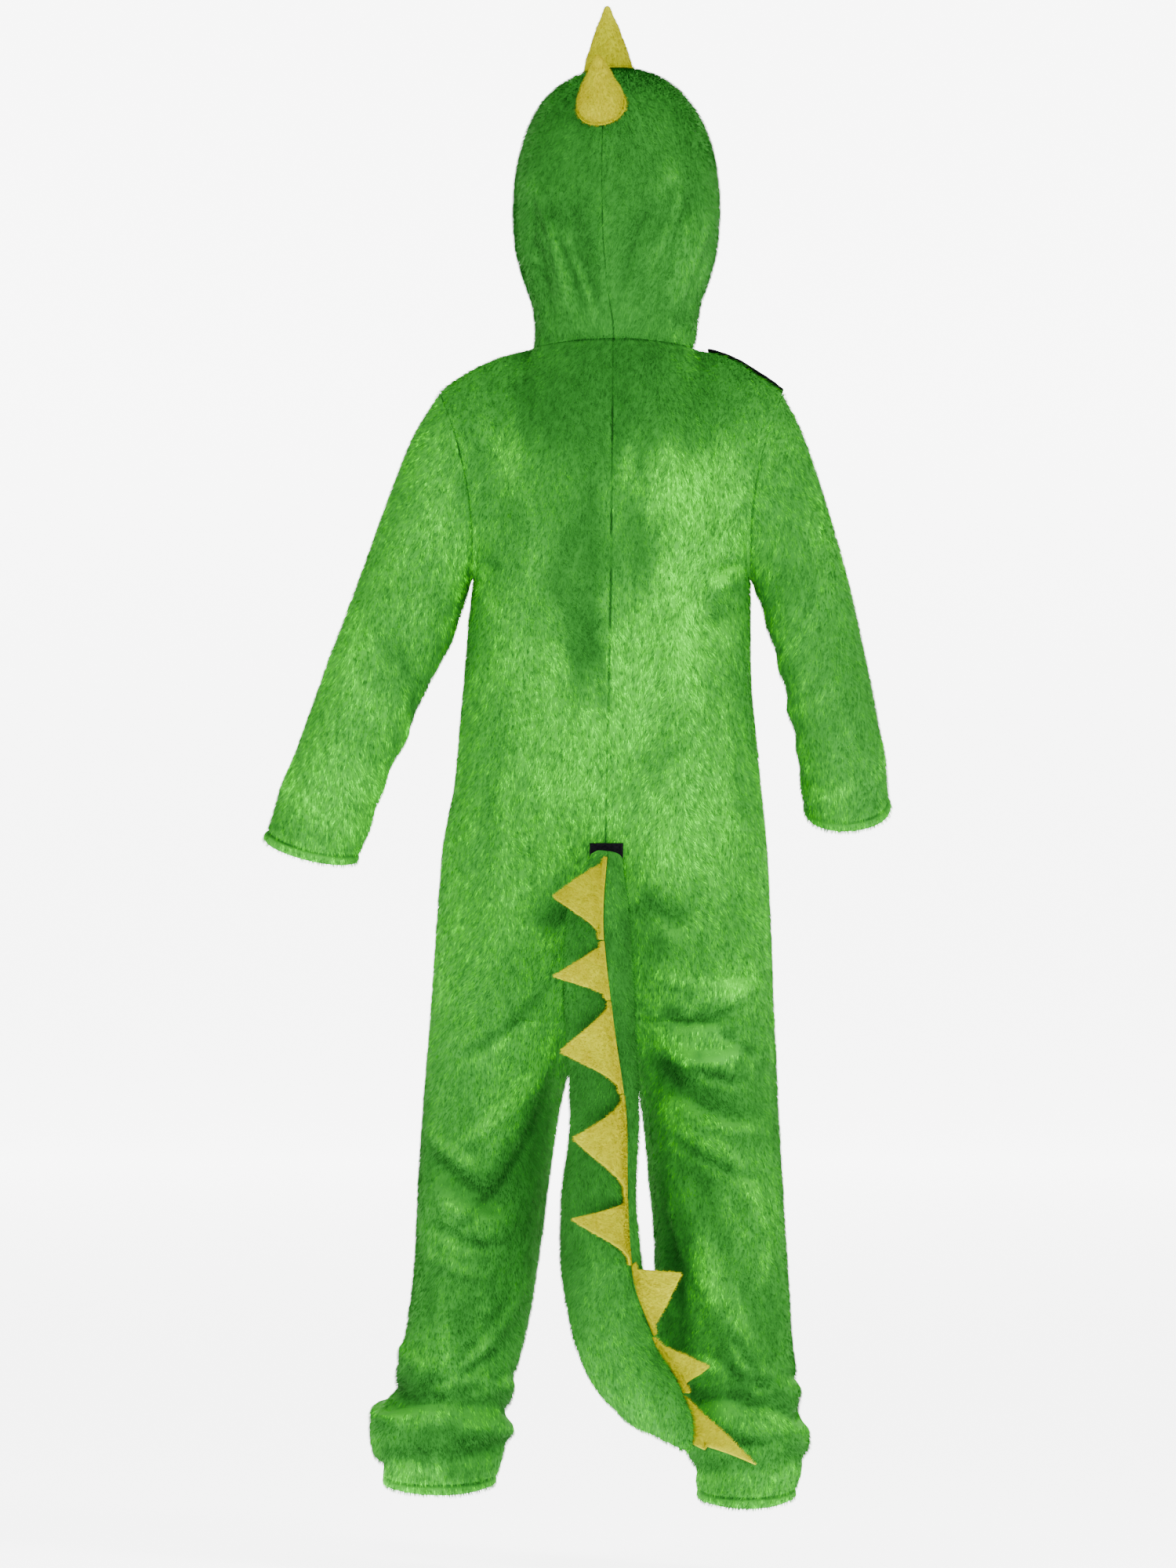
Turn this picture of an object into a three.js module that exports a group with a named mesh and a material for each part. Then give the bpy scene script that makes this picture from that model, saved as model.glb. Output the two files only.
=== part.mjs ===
import * as THREE from "three";

// Child's crocodile costume: a hooded one-piece of short green plush with a stuffed, spiked tail.
// Millimetres, +Z up. The front faces -Y, and +X is the wearer's left.
// The origin lies between the shoulders, at the height of the shoulder line.
// It is shown filled out as worn, open at the face, cuffs and leg hems.

// Cloth and sewing
const PLUSH = 3; // backing and pile together
const FELT = 3.4; // two layers of yellow plush, sewn flat
const TAPE = 2; // one side of hook-and-loop tape
const SEAM_GAP = 0.3;
const LYING_GAP = 0.4; // between a piece and the panel that it lies on
const PLACKET_GAP = 0.8; // the closing strip stands off further, over the folds

// Heights
const UNDERARM_Z = -203;
const FORK_TOP_Z = -488; // where the seat starts to part into two legs
const CROTCH_Z = -600;
const FORK_EASE = 1.4; // how slowly the parting starts
const SHOULDER_RISE = 20; // how far the shoulder line arches up
const YOKE_BULGE = 0.85; // below 1 the upper back fills out sooner
const ROW_CROWDING = 0.6; // how much closer leg rows lie at the crotch and the ankle
const SIDE_SHARE = 0.7; // folds fade out beyond this share of the depth
const HOOD_FOLD_DEPTH = 60; // the same for the hood, in millimetres

// Neck seam, seen from above
const NECK = { x: -4, halfWidth: 74, back: 58, front: 64, z: 8, backRise: 7, frontDrop: 20 };

// Hood: the widest level, and the crown above it
const HOOD = { x: -7, widestZ: 128, crown: 133, roundness: 2.35, seamLean: 13 };

// How finely each piece is divided
const NECK_COLUMNS = 5; // a quarter of the neck seam
const SHOULDER_COLUMNS = 5;
const COLUMNS = NECK_COLUMNS + SHOULDER_COLUMNS;
const YOKE_ROWS = 8;
const TRUNK_ROWS = 18;
const LEG_ROWS = 20;
const SLEEVE_ROWS = 13;
const HOOD_ROWS = 12;
const HOOD_COLUMNS = 8;
const TAIL_ROWS = 24;
const TAIL_SIDES = 8; // around one half of the tail

const COLOURS = {
  green: new THREE.MeshStandardMaterial({ color: 0x47a12f, roughness: 0.95, metalness: 0 }),
  yellow: new THREE.MeshStandardMaterial({ color: 0xfbe34a, roughness: 0.95, metalness: 0 }),
  black: new THREE.MeshStandardMaterial({ color: 0x14141c, roughness: 0.7, metalness: 0 }),
};

const X = new THREE.Vector3(1, 0, 0);
const Y = new THREE.Vector3(0, 1, 0);
const Z = new THREE.Vector3(0, 0, 1);
const point = (x, y, z) => new THREE.Vector3(x, y, z);
const radians = (degrees) => (degrees * Math.PI) / 180;
const mix = (a, b, share) => a + (b - a) * share;
const smooth = (share) => share * share * (3 - 2 * share);
const clamp = (value, low, high) => Math.min(high, Math.max(low, value));

// A table with named columns. Each row is one section, and the first column is its key.
function table(columns, rows) {
  const names = columns.split(" ");
  const keys = rows.map((row) => row[0]);
  const slopes = names.map((_, column) => columnSlopes(keys, rows.map((row) => row[column])));
  return { names, keys, rows, slopes };
}

// Slopes for a smooth curve through one column that never overshoots its rows.
function columnSlopes(keys, values) {
  const last = keys.length - 1;
  const steps = [];
  for (let i = 0; i < last; i += 1) {
    steps.push((values[i + 1] - values[i]) / (keys[i + 1] - keys[i]));
  }
  const slopes = [steps[0]];
  for (let i = 1; i < last; i += 1) {
    const product = steps[i - 1] * steps[i];
    slopes.push(product <= 0 ? 0 : (2 * product) / (steps[i - 1] + steps[i]));
  }
  slopes.push(steps[last - 1]);
  return slopes;
}

// Every column of a table at one value of its key.
function rowAt({ names, keys, rows, slopes }, key) {
  const last = keys.length - 1;
  const rising = keys[last] > keys[0];
  const low = Math.min(keys[0], keys[last]);
  const high = Math.max(keys[0], keys[last]);
  const held = clamp(key, low, high);
  let i = 0;
  while (i < last - 1 && (rising ? held > keys[i + 1] : held < keys[i + 1])) {
    i += 1;
  }
  const span = keys[i + 1] - keys[i];
  const t = (held - keys[i]) / span;
  const row = {};
  names.forEach((name, column) => {
    const before = rows[i][column];
    const after = rows[i + 1][column];
    const leave = slopes[column][i] * span;
    const arrive = slopes[column][i + 1] * span;
    const eased = smooth(t);
    row[name] = mix(before, after, eased) + t * (1 - t) * ((1 - t) * leave - t * arrive);
  });
  return row;
}

// Body and legs: the centre line, the depth to the back and to the front, and the corners' fullness.
const TRUNK = table("z centre back front fullness", [
  [-203, -2, 99, 97, 0.84],
  [-300, 0, 100, 100, 0.86],
  [-400, 2, 106, 106, 0.88],
  [-490, 3, 112, 108, 0.92],
  [-560, 1, 108, 101, 0.97],
  [-600, 0, 98, 92, 1],
  [-660, 0, 82, 80, 1],
  [-740, 0, 74, 74, 1],
  [-850, 0, 67, 67, 1],
  [-960, 0, 64, 66, 1],
  [-1030, 0, 52, 54, 1],
]);

// Each side of the body: its seams as the photo's outline gives them, and its sleeve.
const LEFT = {
  sign: 1,
  hemZ: -1024,
  shoulder: point(150, 0, -32),
  underarm: point(123, 0, UNDERARM_Z),
  sideSeam: table("z x middle", [
    [-203, 123, 0],
    [-245, 128, 0],
    [-387, 140, 0],
    [-440, 150, 0],
    [-529, 158, 0],
    [-600, 162, 0],
    [-742, 173, -14],
    [-813, 176, -24],
    [-884, 185, -31],
    [-930, 197, -35],
    [-978, 217, -38],
    [-1006, 208, -40],
    [-1024, 199, -40],
  ]),
  inseam: table("z x", [
    [-600, 0],
    [-609, 17],
    [-626, 29],
    [-671, 41],
    [-742, 52],
    [-813, 61],
    [-884, 73],
    [-940, 86],
    [-985, 93],
    [-1024, 110],
  ]),
  sleeveOuter: [[150, -32], [178, -78], [229, -209], [270, -316], [313, -437]],
  sleeveInner: [[123, -203], [137, -248], [169, -316], [200, -384], [228, -458]],
  sleeve: table("along middle depth tilt", [
    [0, 0, 50, 0],
    [0.3, 2, 50, 0],
    [0.6, 0, 46, 4],
    [1, -10, 41, 8],
  ]),
};

const RIGHT = {
  sign: -1,
  hemZ: -1031,
  shoulder: point(-157, 0, -32),
  underarm: point(-129, 0, UNDERARM_Z),
  sideSeam: table("z x middle", [
    [-203, -129, 0],
    [-300, -131, 0],
    [-387, -138, 0],
    [-458, -145, 0],
    [-600, -151, 0],
    [-742, -158, 17],
    [-813, -162, 27],
    [-884, -167, 36],
    [-955, -176, 44],
    [-995, -181, 47],
    [-1015, -173, 49],
    [-1031, -168, 50],
  ]),
  inseam: table("z x", [
    [-600, 0],
    [-609, -12],
    [-628, -21],
    [-689, -30],
    [-742, -35],
    [-813, -44],
    [-884, -60],
    [-940, -69],
    [-990, -72],
    [-1031, -82],
  ]),
  sleeveOuter: [[-157, -32], [-179, -72], [-219, -209], [-243, -316], [-258, -410]],
  sleeveInner: [[-129, -203], [-142, -245], [-160, -316], [-171, -365], [-177, -413]],
  sleeve: table("along middle depth tilt", [
    [0, 0, 50, 0],
    [0.3, 2, 49, 0],
    [0.6, -8, 45, 12],
    [1, -50, 40, 26],
  ]),
};

const ARMHOLE_BOW = 11; // how far the armhole seam curves in from a flat loop

// Hood outline by height, below its widest level
const HOOD_PROFILE = table("z halfWidth back front", [
  [8, 73, 58, 62],
  [40, 76, 76, 76],
  [75, 87, 94, 84],
  [105, 93, 104, 89],
  [128, 94.4, 106, 90],
]);

// Hood rows from the neck over the crown: where each starts on the centre seam,
// where it ends on the face edge, and how far it sweeps round the head.
const HOOD_PATH = table("row seamY seamZ faceY faceZ sweep", [
  [0, 58, 15, -52, -4, 144],
  [0.15, 78, 46, -62, 42, 128],
  [0.3, 96, 90, -66, 84, 116],
  [0.45, 104, 140, -66, 122, 110],
  [0.6, 92, 192, -68, 154, 106],
  [0.75, 56, 240, -70, 182, 102],
  [0.88, 2, 262, -74, 204, 98],
  [1, -58, 246, -78, 222, 94],
]);

// Tail axis from its top to its tip, its radius, and the way the ridge seam faces:
// 0 degrees is straight back, and 90 is towards the wearer's right.
const TAIL = [
  { x: 1, y: 130.8, z: -450, radius: 15, ridge: 0 },
  { x: 9, y: 146, z: -508, radius: 29, ridge: 8 },
  { x: 8, y: 149, z: -600, radius: 33, ridge: 22 },
  { x: 4, y: 145, z: -689, radius: 32.5, ridge: 38 },
  { x: 9, y: 139, z: -760, radius: 35, ridge: 48 },
  { x: 5, y: 134, z: -831, radius: 38, ridge: 46 },
  { x: -10, y: 131, z: -902, radius: 35, ridge: 80 },
  { x: -28, y: 129, z: -937, radius: 30, ridge: 90 },
  { x: -50, y: 128, z: -970, radius: 19, ridge: 90 },
  { x: -69, y: 127, z: -990, radius: 4, ridge: 90 },
];

// Tail spikes: base from and to along the axis, length, the way that the root and the tip point
// the ridge angles do, and how far the tip runs down past the base's middle. lying is 1 for a spike
// folded over with its underside on the tail, 0 for one that stands on its base edge, and between
// the two for one that leans.
const TAIL_SPIKES = table("number from to length root tip slide lying", [
  [1, 7, 79, 46, -72, -98, 0, 1],
  [2, 83, 131, 51, -60, -102, 5, 1],
  [3, 136, 214, 56, -46, -106, 8, 1],
  [4, 220, 309, 61, -26, -104, -6, 1],
  [5, 314, 372, 65, -22, -106, -2, 1],
  [6, 379, 447, 40, 70, 92, -16, 0.25],
  [7, 450, 516, 24, 84, 100, 30, 0],
  [8, 519, 556, 24, 86, 92, 66, 0],
]);

const HOOD_SPIKES = {
  hood_spike_top: { base: point(0, -6, 259), tip: point(3, -6, 318), radius: 22, flange: 1.5 },
  hood_spike_rear: { base: point(7, 76, 226), tip: point(10, 104, 267), radius: 22, flange: 3 },
};
// The cone above the flange, by share of its length and of the base radius
const HOOD_SPIKE_RINGS = [
  { along: 0.12, radius: 0.84 },
  { along: 0.35, radius: 0.6 },
  { along: 0.7, radius: 0.3 },
  { along: 0.93, radius: 0.14 },
];
const HOOD_SPIKE_SEATS = [0.35, 0.7, 1]; // rings of the underside, by share of the base radius
const FLANGE_THICKNESS = 2;
const FLANGE_SLOPE = 0.4; // rise from the flange's rim to the foot of the cone
const HOOD_SPIKE_SIDES = 14;

// The closing strip by rows of the body grid, and the tapes by their places on the seat and shoulder
const PLACKET = { firstRow: 1, lastRow: 20 };
const SEAT_TAPE = { x: 0.5, halfWidth: 16.5, top: -440, bottom: -484, steps: 2 };
const HOOK_TAPE = { x: 2, halfWidth: 13, top: -453, bottom: -480, steps: 2 };
const SHOULDER_TAPE = { firstColumn: NECK_COLUMNS, lastRow: 1 };

// Large soft folds, as lines seen from behind (face 1) or from in front (face -1).
// A negative height is a trough. Bow bends the line sideways.
const FOLDS = table("number face x1 z1 x2 z2 bow width height", [
  [1, 1, 84, -60, 92, -330, 6, 20, 3],
  [2, 1, -70, -80, -84, -360, -6, 22, 3],
  [3, 1, 44, -120, 50, -420, 4, 18, -3],
  [4, 1, -48, -200, -46, -430, 4, 18, -3],
  [5, 1, -20, -488, -78, -512, -6, 13, -7],
  [6, 1, 30, -494, 66, -520, 5, 12, -5],
  [7, 1, -30, -596, -140, -648, -20, 14, 6],
  [8, 1, -34, -626, -140, -690, -18, 13, -6],
  [9, 1, -36, -660, -120, -740, -12, 14, 5],
  [10, 1, 48, -590, 140, -760, 14, 18, 5],
  [11, 1, 44, -640, 120, -790, 12, 15, -5],
  [12, 1, 166, -724, 88, -770, -8, 12, -5],
  [13, 1, 162, -752, 84, -792, -8, 13, 5],
  [14, 1, -44, -690, -150, -940, -12, 15, 5],
  [15, 1, -64, -700, -160, -900, -12, 13, -4],
  [16, 1, -118, -196, -92, -250, 8, 12, -6],
  [17, -1, 90, -90, 84, -400, 5, 22, 4],
  [18, -1, -86, -90, -82, -400, -5, 22, 4],
  [19, -1, 40, -470, 130, -520, 8, 16, -5],
  [20, -1, -34, -476, -120, -530, -8, 16, -5],
  [21, -1, 60, -600, 140, -680, 10, 15, 5],
  [22, -1, -52, -600, -130, -690, -10, 15, 5],
  [23, -1, 160, -770, 84, -800, -8, 13, -5],
  [24, -1, -60, -780, -150, -820, 8, 13, -5],
  [25, 1, 64, 30, 84, 150, -10, 16, -5],
  [26, 1, 16, 30, 48, 140, -8, 14, -4],
  [27, 1, -22, 34, -52, 140, 8, 14, -4],
  [28, 1, -58, 30, -84, 130, 8, 14, 4],
]);

// Rings of cloth that bunch at the ankles, by height at the middle and tilt across.
const ANKLE_RINGS = table("number side z tilt width height", [
  [1, 1, -948, 0.2, 9, -5],
  [2, 1, -970, 0.15, 10, 5],
  [3, 1, -997, -0.1, 8, -5],
  [4, -1, -945, -0.2, 9, -4],
  [5, -1, -968, -0.1, 10, 5],
  [6, -1, -1002, 0.1, 8, -5],
]);

// Elbow creases and the slack above the cuff, by share of the sleeve's length.
// lean shifts a fold round the arm, and inside is 1 where it shows only inside the elbow.
const SLEEVE_FOLDS = table("number at lean width height inside", [
  [1, 0.46, 0.05, 0.05, -4, 1],
  [2, 0.56, -0.04, 0.05, 3, 1],
  [3, 0.66, 0.03, 0.05, -3, 1],
  [4, 0.88, 0.02, 0.05, 2, 0],
]);

// How far the cloth stands out (or in) at a place on the body or hood.
function foldHeight(place, facing) {
  let height = 0;
  for (const [, face, x1, z1, x2, z2, bow, width, rise] of FOLDS.rows) {
    if (face * facing > 0) {
      const chordX = x2 - x1;
      const chordZ = z2 - z1;
      const length = Math.hypot(chordX, chordZ);
      const along = ((place.x - x1) * chordX + (place.z - z1) * chordZ) / length ** 2;
      const held = clamp(along, 0, 1);
      const aside = ((place.x - x1) * chordZ - (place.z - z1) * chordX) / length;
      const across = aside - 4 * bow * held * (1 - held);
      const beyond = (along - held) * length;
      const taper = smooth(clamp(4 * held * (1 - held) + 0.1, 0, 1));
      height += rise * taper * Math.abs(facing) * Math.exp(-(across ** 2 + beyond ** 2) / width ** 2);
    }
  }
  return height;
}

function ankleHeight(side, place) {
  let height = 0;
  for (const [, sign, z, tilt, width, rise] of ANKLE_RINGS.rows) {
    if (sign === side.sign) {
      const level = z + tilt * (Math.abs(place.x) - 130);
      height += rise * Math.exp(-(((place.z - level) / width) ** 2));
    }
  }
  return height;
}

const signedPower = (value, power) => Math.sign(value) * Math.abs(value) ** power;

// A point of the body's or leg's section. turn is 0 on the centre seam or inseam and 1 on the side seam.
function bodySection(side, face, z, turn) {
  const trunk = rowAt(TRUNK, z);
  const seam = rowAt(side.sideSeam, z);
  const reach = side.sign * (seam.x - trunk.centre);
  let parting = 0;
  let inner = 0;
  if (z >= CROTCH_Z) {
    parting = clamp((FORK_TOP_Z - z) / (FORK_TOP_Z - CROTCH_Z), 0, 1) ** FORK_EASE;
  } else {
    parting = 1;
    inner = side.sign * rowAt(side.inseam, z).x;
  }
  const half = (reach - inner) / (1 + parting);
  const middle = inner + parting * half;
  const start = z >= CROTCH_Z ? Math.acos(-(parting ** (1 / trunk.fullness))) : Math.PI;
  const angle = start * (1 - turn);
  const depth = face > 0 ? trunk.back : trunk.front;
  return point(
    trunk.centre + side.sign * (middle + half * signedPower(Math.cos(angle), trunk.fullness)),
    seam.middle + face * depth * signedPower(Math.sin(angle), trunk.fullness),
    z,
  );
}

// A point of the neck seam. azimuth is 0 at the centre back and 180 degrees at the centre front.
function neckPoint(sign, azimuth) {
  const turned = Math.cos(azimuth);
  return point(
    NECK.x + sign * NECK.halfWidth * Math.sin(azimuth),
    (turned > 0 ? NECK.back : NECK.front) * turned,
    NECK.z + (turned > 0 ? NECK.backRise : NECK.frontDrop) * turned * Math.abs(turned),
  );
}

// A point of the armhole seam. angle is 0 at the shoulder, 180 degrees at the underarm,
// and between them it passes over the back.
function armholePoint(side, angle) {
  const sleeve = rowAt(side.sleeve, 0);
  const centre = side.shoulder.clone().lerp(side.underarm, 0.5);
  const half = side.shoulder.clone().sub(centre);
  return point(
    centre.x + half.x * Math.cos(angle) - side.sign * ARMHOLE_BOW * Math.sin(angle) ** 2,
    sleeve.depth * Math.sin(angle),
    centre.z + half.z * Math.cos(angle),
  );
}

// The yoke, from the neck and shoulder seam down to the underarm.
function yokePoint(side, face, across, down) {
  const neckShare = NECK_COLUMNS / COLUMNS;
  const centreAzimuth = face > 0 ? 0 : Math.PI;
  const neckEnd = neckPoint(side.sign, Math.PI / 2);
  const centreTop = neckPoint(side.sign, centreAzimuth);
  const top = (share) => {
    if (share <= neckShare) {
      return neckPoint(side.sign, mix(centreAzimuth, Math.PI / 2, share / neckShare));
    }
    const out = (share - neckShare) / (1 - neckShare);
    const place = neckEnd.clone().lerp(side.shoulder, out);
    place.z += SHOULDER_RISE * out * (1 - out);
    return place;
  };
  const bottom = (share) => bodySection(side, face, UNDERARM_Z, share);
  const centreBottom = bottom(0);
  const centre = centreTop.clone().lerp(centreBottom, down);
  centre.y = mix(centreTop.y, centreBottom.y, Math.sin((down * Math.PI) / 2) ** YOKE_BULGE);
  const armhole = armholePoint(side, face > 0 ? Math.PI * down : -Math.PI * down);
  const topPoint = top(across);
  const bottomPoint = bottom(across);
  const corner = top(0).multiplyScalar((1 - across) * (1 - down))
    .add(side.shoulder.clone().multiplyScalar(across * (1 - down)))
    .add(centreBottom.clone().multiplyScalar((1 - across) * down))
    .add(side.underarm.clone().multiplyScalar(across * down));
  return topPoint.multiplyScalar(1 - down)
    .add(bottomPoint.multiplyScalar(down))
    .add(centre.multiplyScalar(1 - across))
    .add(armhole.multiplyScalar(across))
    .sub(corner);
}

// Heights of the rows below the underarm, closer together at the crotch and the ankle.
function rowHeights(side) {
  const heights = [];
  for (let i = 1; i <= TRUNK_ROWS; i += 1) {
    heights.push(mix(UNDERARM_Z, CROTCH_Z, i / TRUNK_ROWS));
  }
  for (let i = 1; i <= LEG_ROWS; i += 1) {
    const share = i / LEG_ROWS;
    const crowded = share - (ROW_CROWDING * Math.sin(2 * Math.PI * share)) / (2 * Math.PI);
    heights.push(mix(CROTCH_Z, side.hemZ, crowded));
  }
  return heights;
}

// Directions into the hollow at each point of a grid, square to the cloth.
function inwardDirections(points, inside, closed) {
  const directions = points.map((row, i) => row.map((place, j) => {
    const last = row.length - 1;
    const left = closed ? row[(j + last) % row.length] : row[Math.max(j - 1, 0)];
    const right = closed ? row[(j + 1) % row.length] : row[Math.min(j + 1, last)];
    const above = points[Math.max(i - 1, 0)][j];
    const below = points[Math.min(i + 1, points.length - 1)][j];
    return right.clone().sub(left).cross(below.clone().sub(above)).normalize();
  }));
  const i = Math.floor(points.length / 2);
  const j = Math.floor(points[0].length / 2);
  const wrongWay = directions[i][j].dot(inside.clone().sub(points[i][j])) < 0;
  if (wrongWay) {
    directions.forEach((row) => row.forEach((direction) => direction.negate()));
  }
  return directions;
}

// A direction across a seam's line, within the seam's own plane, that points to one side.
function acrossSeam(before, after, planeNormal, towards) {
  const direction = after.clone().sub(before).cross(planeNormal).normalize();
  return direction.dot(towards) < 0 ? direction.negate() : direction;
}

// The armhole's seam allowance points to the middle of the armhole, on body and sleeve alike.
function armholeInward(side, angle) {
  const step = radians(2);
  const place = armholePoint(side, angle);
  const tangent = armholePoint(side, angle + step).sub(armholePoint(side, angle - step)).normalize();
  const towards = side.shoulder.clone().lerp(side.underarm, 0.5).sub(place);
  return towards.addScaledVector(tangent, -towards.dot(tangent)).normalize();
}

function neckInward(place) {
  return point(NECK.x - place.x, -place.y, 0).normalize();
}

// Outer points and inward directions of one body-and-leg piece: the yoke, the trunk, then the leg.
function bodyGrid(side, face) {
  const points = [];
  for (let i = 0; i < YOKE_ROWS; i += 1) {
    points.push(sharesOf(COLUMNS).map((share) => yokePoint(side, face, share, i / YOKE_ROWS)));
  }
  for (const z of [UNDERARM_Z, ...rowHeights(side)]) {
    points.push(sharesOf(COLUMNS).map((share) => bodySection(side, face, z, share)));
  }
  const inward = inwardDirections(points, point(side.sign * 75, 0, -500), false);
  const crotchRow = YOKE_ROWS + TRUNK_ROWS;
  const lastRow = points.length - 1;
  for (let i = 0; i <= lastRow; i += 1) {
    const above = points[Math.max(i - 1, 0)];
    const below = points[Math.min(i + 1, lastRow)];
    if (i === crotchRow) {
      inward[i][0] = Z.clone();
    } else if (i < crotchRow) {
      inward[i][0] = acrossSeam(above[0], below[0], X, point(0, -face, 0.01));
    } else {
      inward[i][0] = acrossSeam(above[0], below[0], Y, X.clone().multiplyScalar(side.sign));
    }
    if (i <= YOKE_ROWS) {
      inward[i][COLUMNS] = armholeInward(side, (face * Math.PI * i) / YOKE_ROWS);
    } else {
      inward[i][COLUMNS] = acrossSeam(above[COLUMNS], below[COLUMNS], Y, point(-side.sign, 0, 0));
    }
  }
  for (let j = 0; j < COLUMNS; j += 1) {
    inward[0][j] = j <= NECK_COLUMNS
      ? neckInward(points[0][j])
      : acrossSeam(points[0][j - 1], points[0][j + 1], Y, Z.clone().negate());
  }
  points.forEach((row, i) => row.forEach((place, j) => {
    const trunk = rowAt(TRUNK, place.z);
    const middle = rowAt(side.sideSeam, place.z).middle;
    const facing = clamp((place.y - middle) / (SIDE_SHARE * trunk.back), -1, 1);
    const height = foldHeight(place, facing) + ankleHeight(side, place);
    place.addScaledVector(inward[i][j], -height);
    if (j === 0 && i <= crotchRow) {
      place.x += (side.sign * SEAM_GAP) / 2;
    }
    if ((j === 0 && i >= crotchRow) || j === COLUMNS || (i === 0 && j >= NECK_COLUMNS)) {
      place.y += (face * SEAM_GAP) / 2;
    }
  }));
  return { points, inward };
}

function sharesOf(count) {
  return Array.from({ length: count + 1 }, (_, i) => i / count);
}

// A closed wall of cloth from its outer points, each moved in by the thickness for the inside.
function wall({ points, inward }, thickness, closed = false) {
  const rows = points.length;
  const columns = points[0].length;
  const vertices = [];
  points.forEach((row) => row.forEach((place) => vertices.push(place.clone())));
  points.forEach((row, i) => row.forEach((place, j) => {
    vertices.push(place.clone().addScaledVector(inward[i][j], thickness));
  }));
  const at = (i, j, inner) => (inner ? rows * columns : 0) + i * columns + (j % columns);
  const triangles = [];
  const quad = (a, b, c, d) => triangles.push([a, b, c], [a, c, d]);
  const lastColumn = closed ? columns : columns - 1;
  for (let i = 0; i < rows - 1; i += 1) {
    for (let j = 0; j < lastColumn; j += 1) {
      quad(at(i, j), at(i, j + 1), at(i + 1, j + 1), at(i + 1, j));
      const [a, b] = [at(i, j, true), at(i, j + 1, true)];
      const [c, d] = [at(i + 1, j + 1, true), at(i + 1, j, true)];
      triangles.push([c, b, a], [d, c, a]);
    }
  }
  for (let j = 0; j < lastColumn; j += 1) {
    quad(at(0, j + 1), at(0, j), at(0, j, true), at(0, j + 1, true));
    quad(at(rows - 1, j), at(rows - 1, j + 1), at(rows - 1, j + 1, true), at(rows - 1, j, true));
  }
  if (!closed) {
    for (let i = 0; i < rows - 1; i += 1) {
      quad(at(i, 0), at(i + 1, 0), at(i + 1, 0, true), at(i, 0, true));
      const end = columns - 1;
      quad(at(i + 1, end), at(i, end), at(i, end, true), at(i + 1, end, true));
    }
  }
  return solid(vertices, triangles);
}

// A mesh geometry with its faces turned outwards.
function solid(vertices, triangles) {
  let volume = 0;
  for (const [a, b, c] of triangles) {
    volume += vertices[a].dot(vertices[b].clone().cross(vertices[c]));
  }
  const indices = triangles.flatMap(([a, b, c]) => (volume > 0 ? [a, b, c] : [a, c, b]));
  const geometry = new THREE.BufferGeometry().setFromPoints(vertices);
  geometry.setIndex(indices);
  geometry.computeVertexNormals();
  return geometry;
}

function edgeCurve(places) {
  return new THREE.CatmullRomCurve3(places.map(([x, z]) => point(x, 0, z)), false, "centripetal");
}

// Sleeve rings run from the armhole to the cuff, each between the outer and the inner edge line.
function sleeveGrid(side) {
  const outer = edgeCurve(side.sleeveOuter);
  const inner = edgeCurve(side.sleeveInner);
  const angles = Array.from({ length: 2 * YOKE_ROWS }, (_, i) => (Math.PI * i) / YOKE_ROWS);
  const points = sharesOf(SLEEVE_ROWS).map((along, i) => {
    if (i === 0) {
      const gap = side.sign * SEAM_GAP;
      return angles.map((angle) => armholePoint(side, angle).addScaledVector(X, gap));
    }
    const row = rowAt(side.sleeve, along);
    const far = outer.getPointAt(along);
    const near = inner.getPointAt(along);
    const centre = far.clone().lerp(near, 0.5).addScaledVector(Y, row.middle);
    const half = far.clone().sub(near).multiplyScalar(0.5);
    const tilt = radians(row.tilt);
    const deep = point(0, Math.cos(tilt), -Math.sin(tilt)).multiplyScalar(row.depth);
    return angles.map((angle) => centre.clone()
      .addScaledVector(half, Math.cos(angle))
      .addScaledVector(deep, Math.sin(angle)));
  });
  const middle = points[Math.floor(points.length / 2)];
  const inside = middle[0].clone().lerp(middle[YOKE_ROWS], 0.5);
  const inward = inwardDirections(points, inside, true);
  inward[0] = angles.map((angle) => armholeInward(side, angle));
  points.forEach((row, i) => row.forEach((place, j) => {
    const rise = i === 0 ? 0 : sleeveFold(i / SLEEVE_ROWS, angles[j]);
    place.addScaledVector(inward[i][j], -rise);
  }));
  points[0].forEach((place, j) => {
    const trunk = rowAt(TRUNK, place.z);
    const facing = clamp(place.y / (SIDE_SHARE * trunk.back), -1, 1);
    place.addScaledVector(inward[0][j], -foldHeight(place, facing));
  });
  return { points, inward };
}

// How far the cloth of a sleeve stands out (or in). angle is 0 on the outer edge of the arm.
function sleeveFold(along, angle) {
  const inner = (1 - Math.cos(angle)) / 2;
  let total = 0;
  for (const [, at, lean, width, height, insideOnly] of SLEEVE_FOLDS.rows) {
    const away = (along - at - lean * Math.sin(angle)) / width;
    total += height * Math.exp(-(away ** 2)) * (insideOnly ? inner : 1);
  }
  return total;
}

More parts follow.
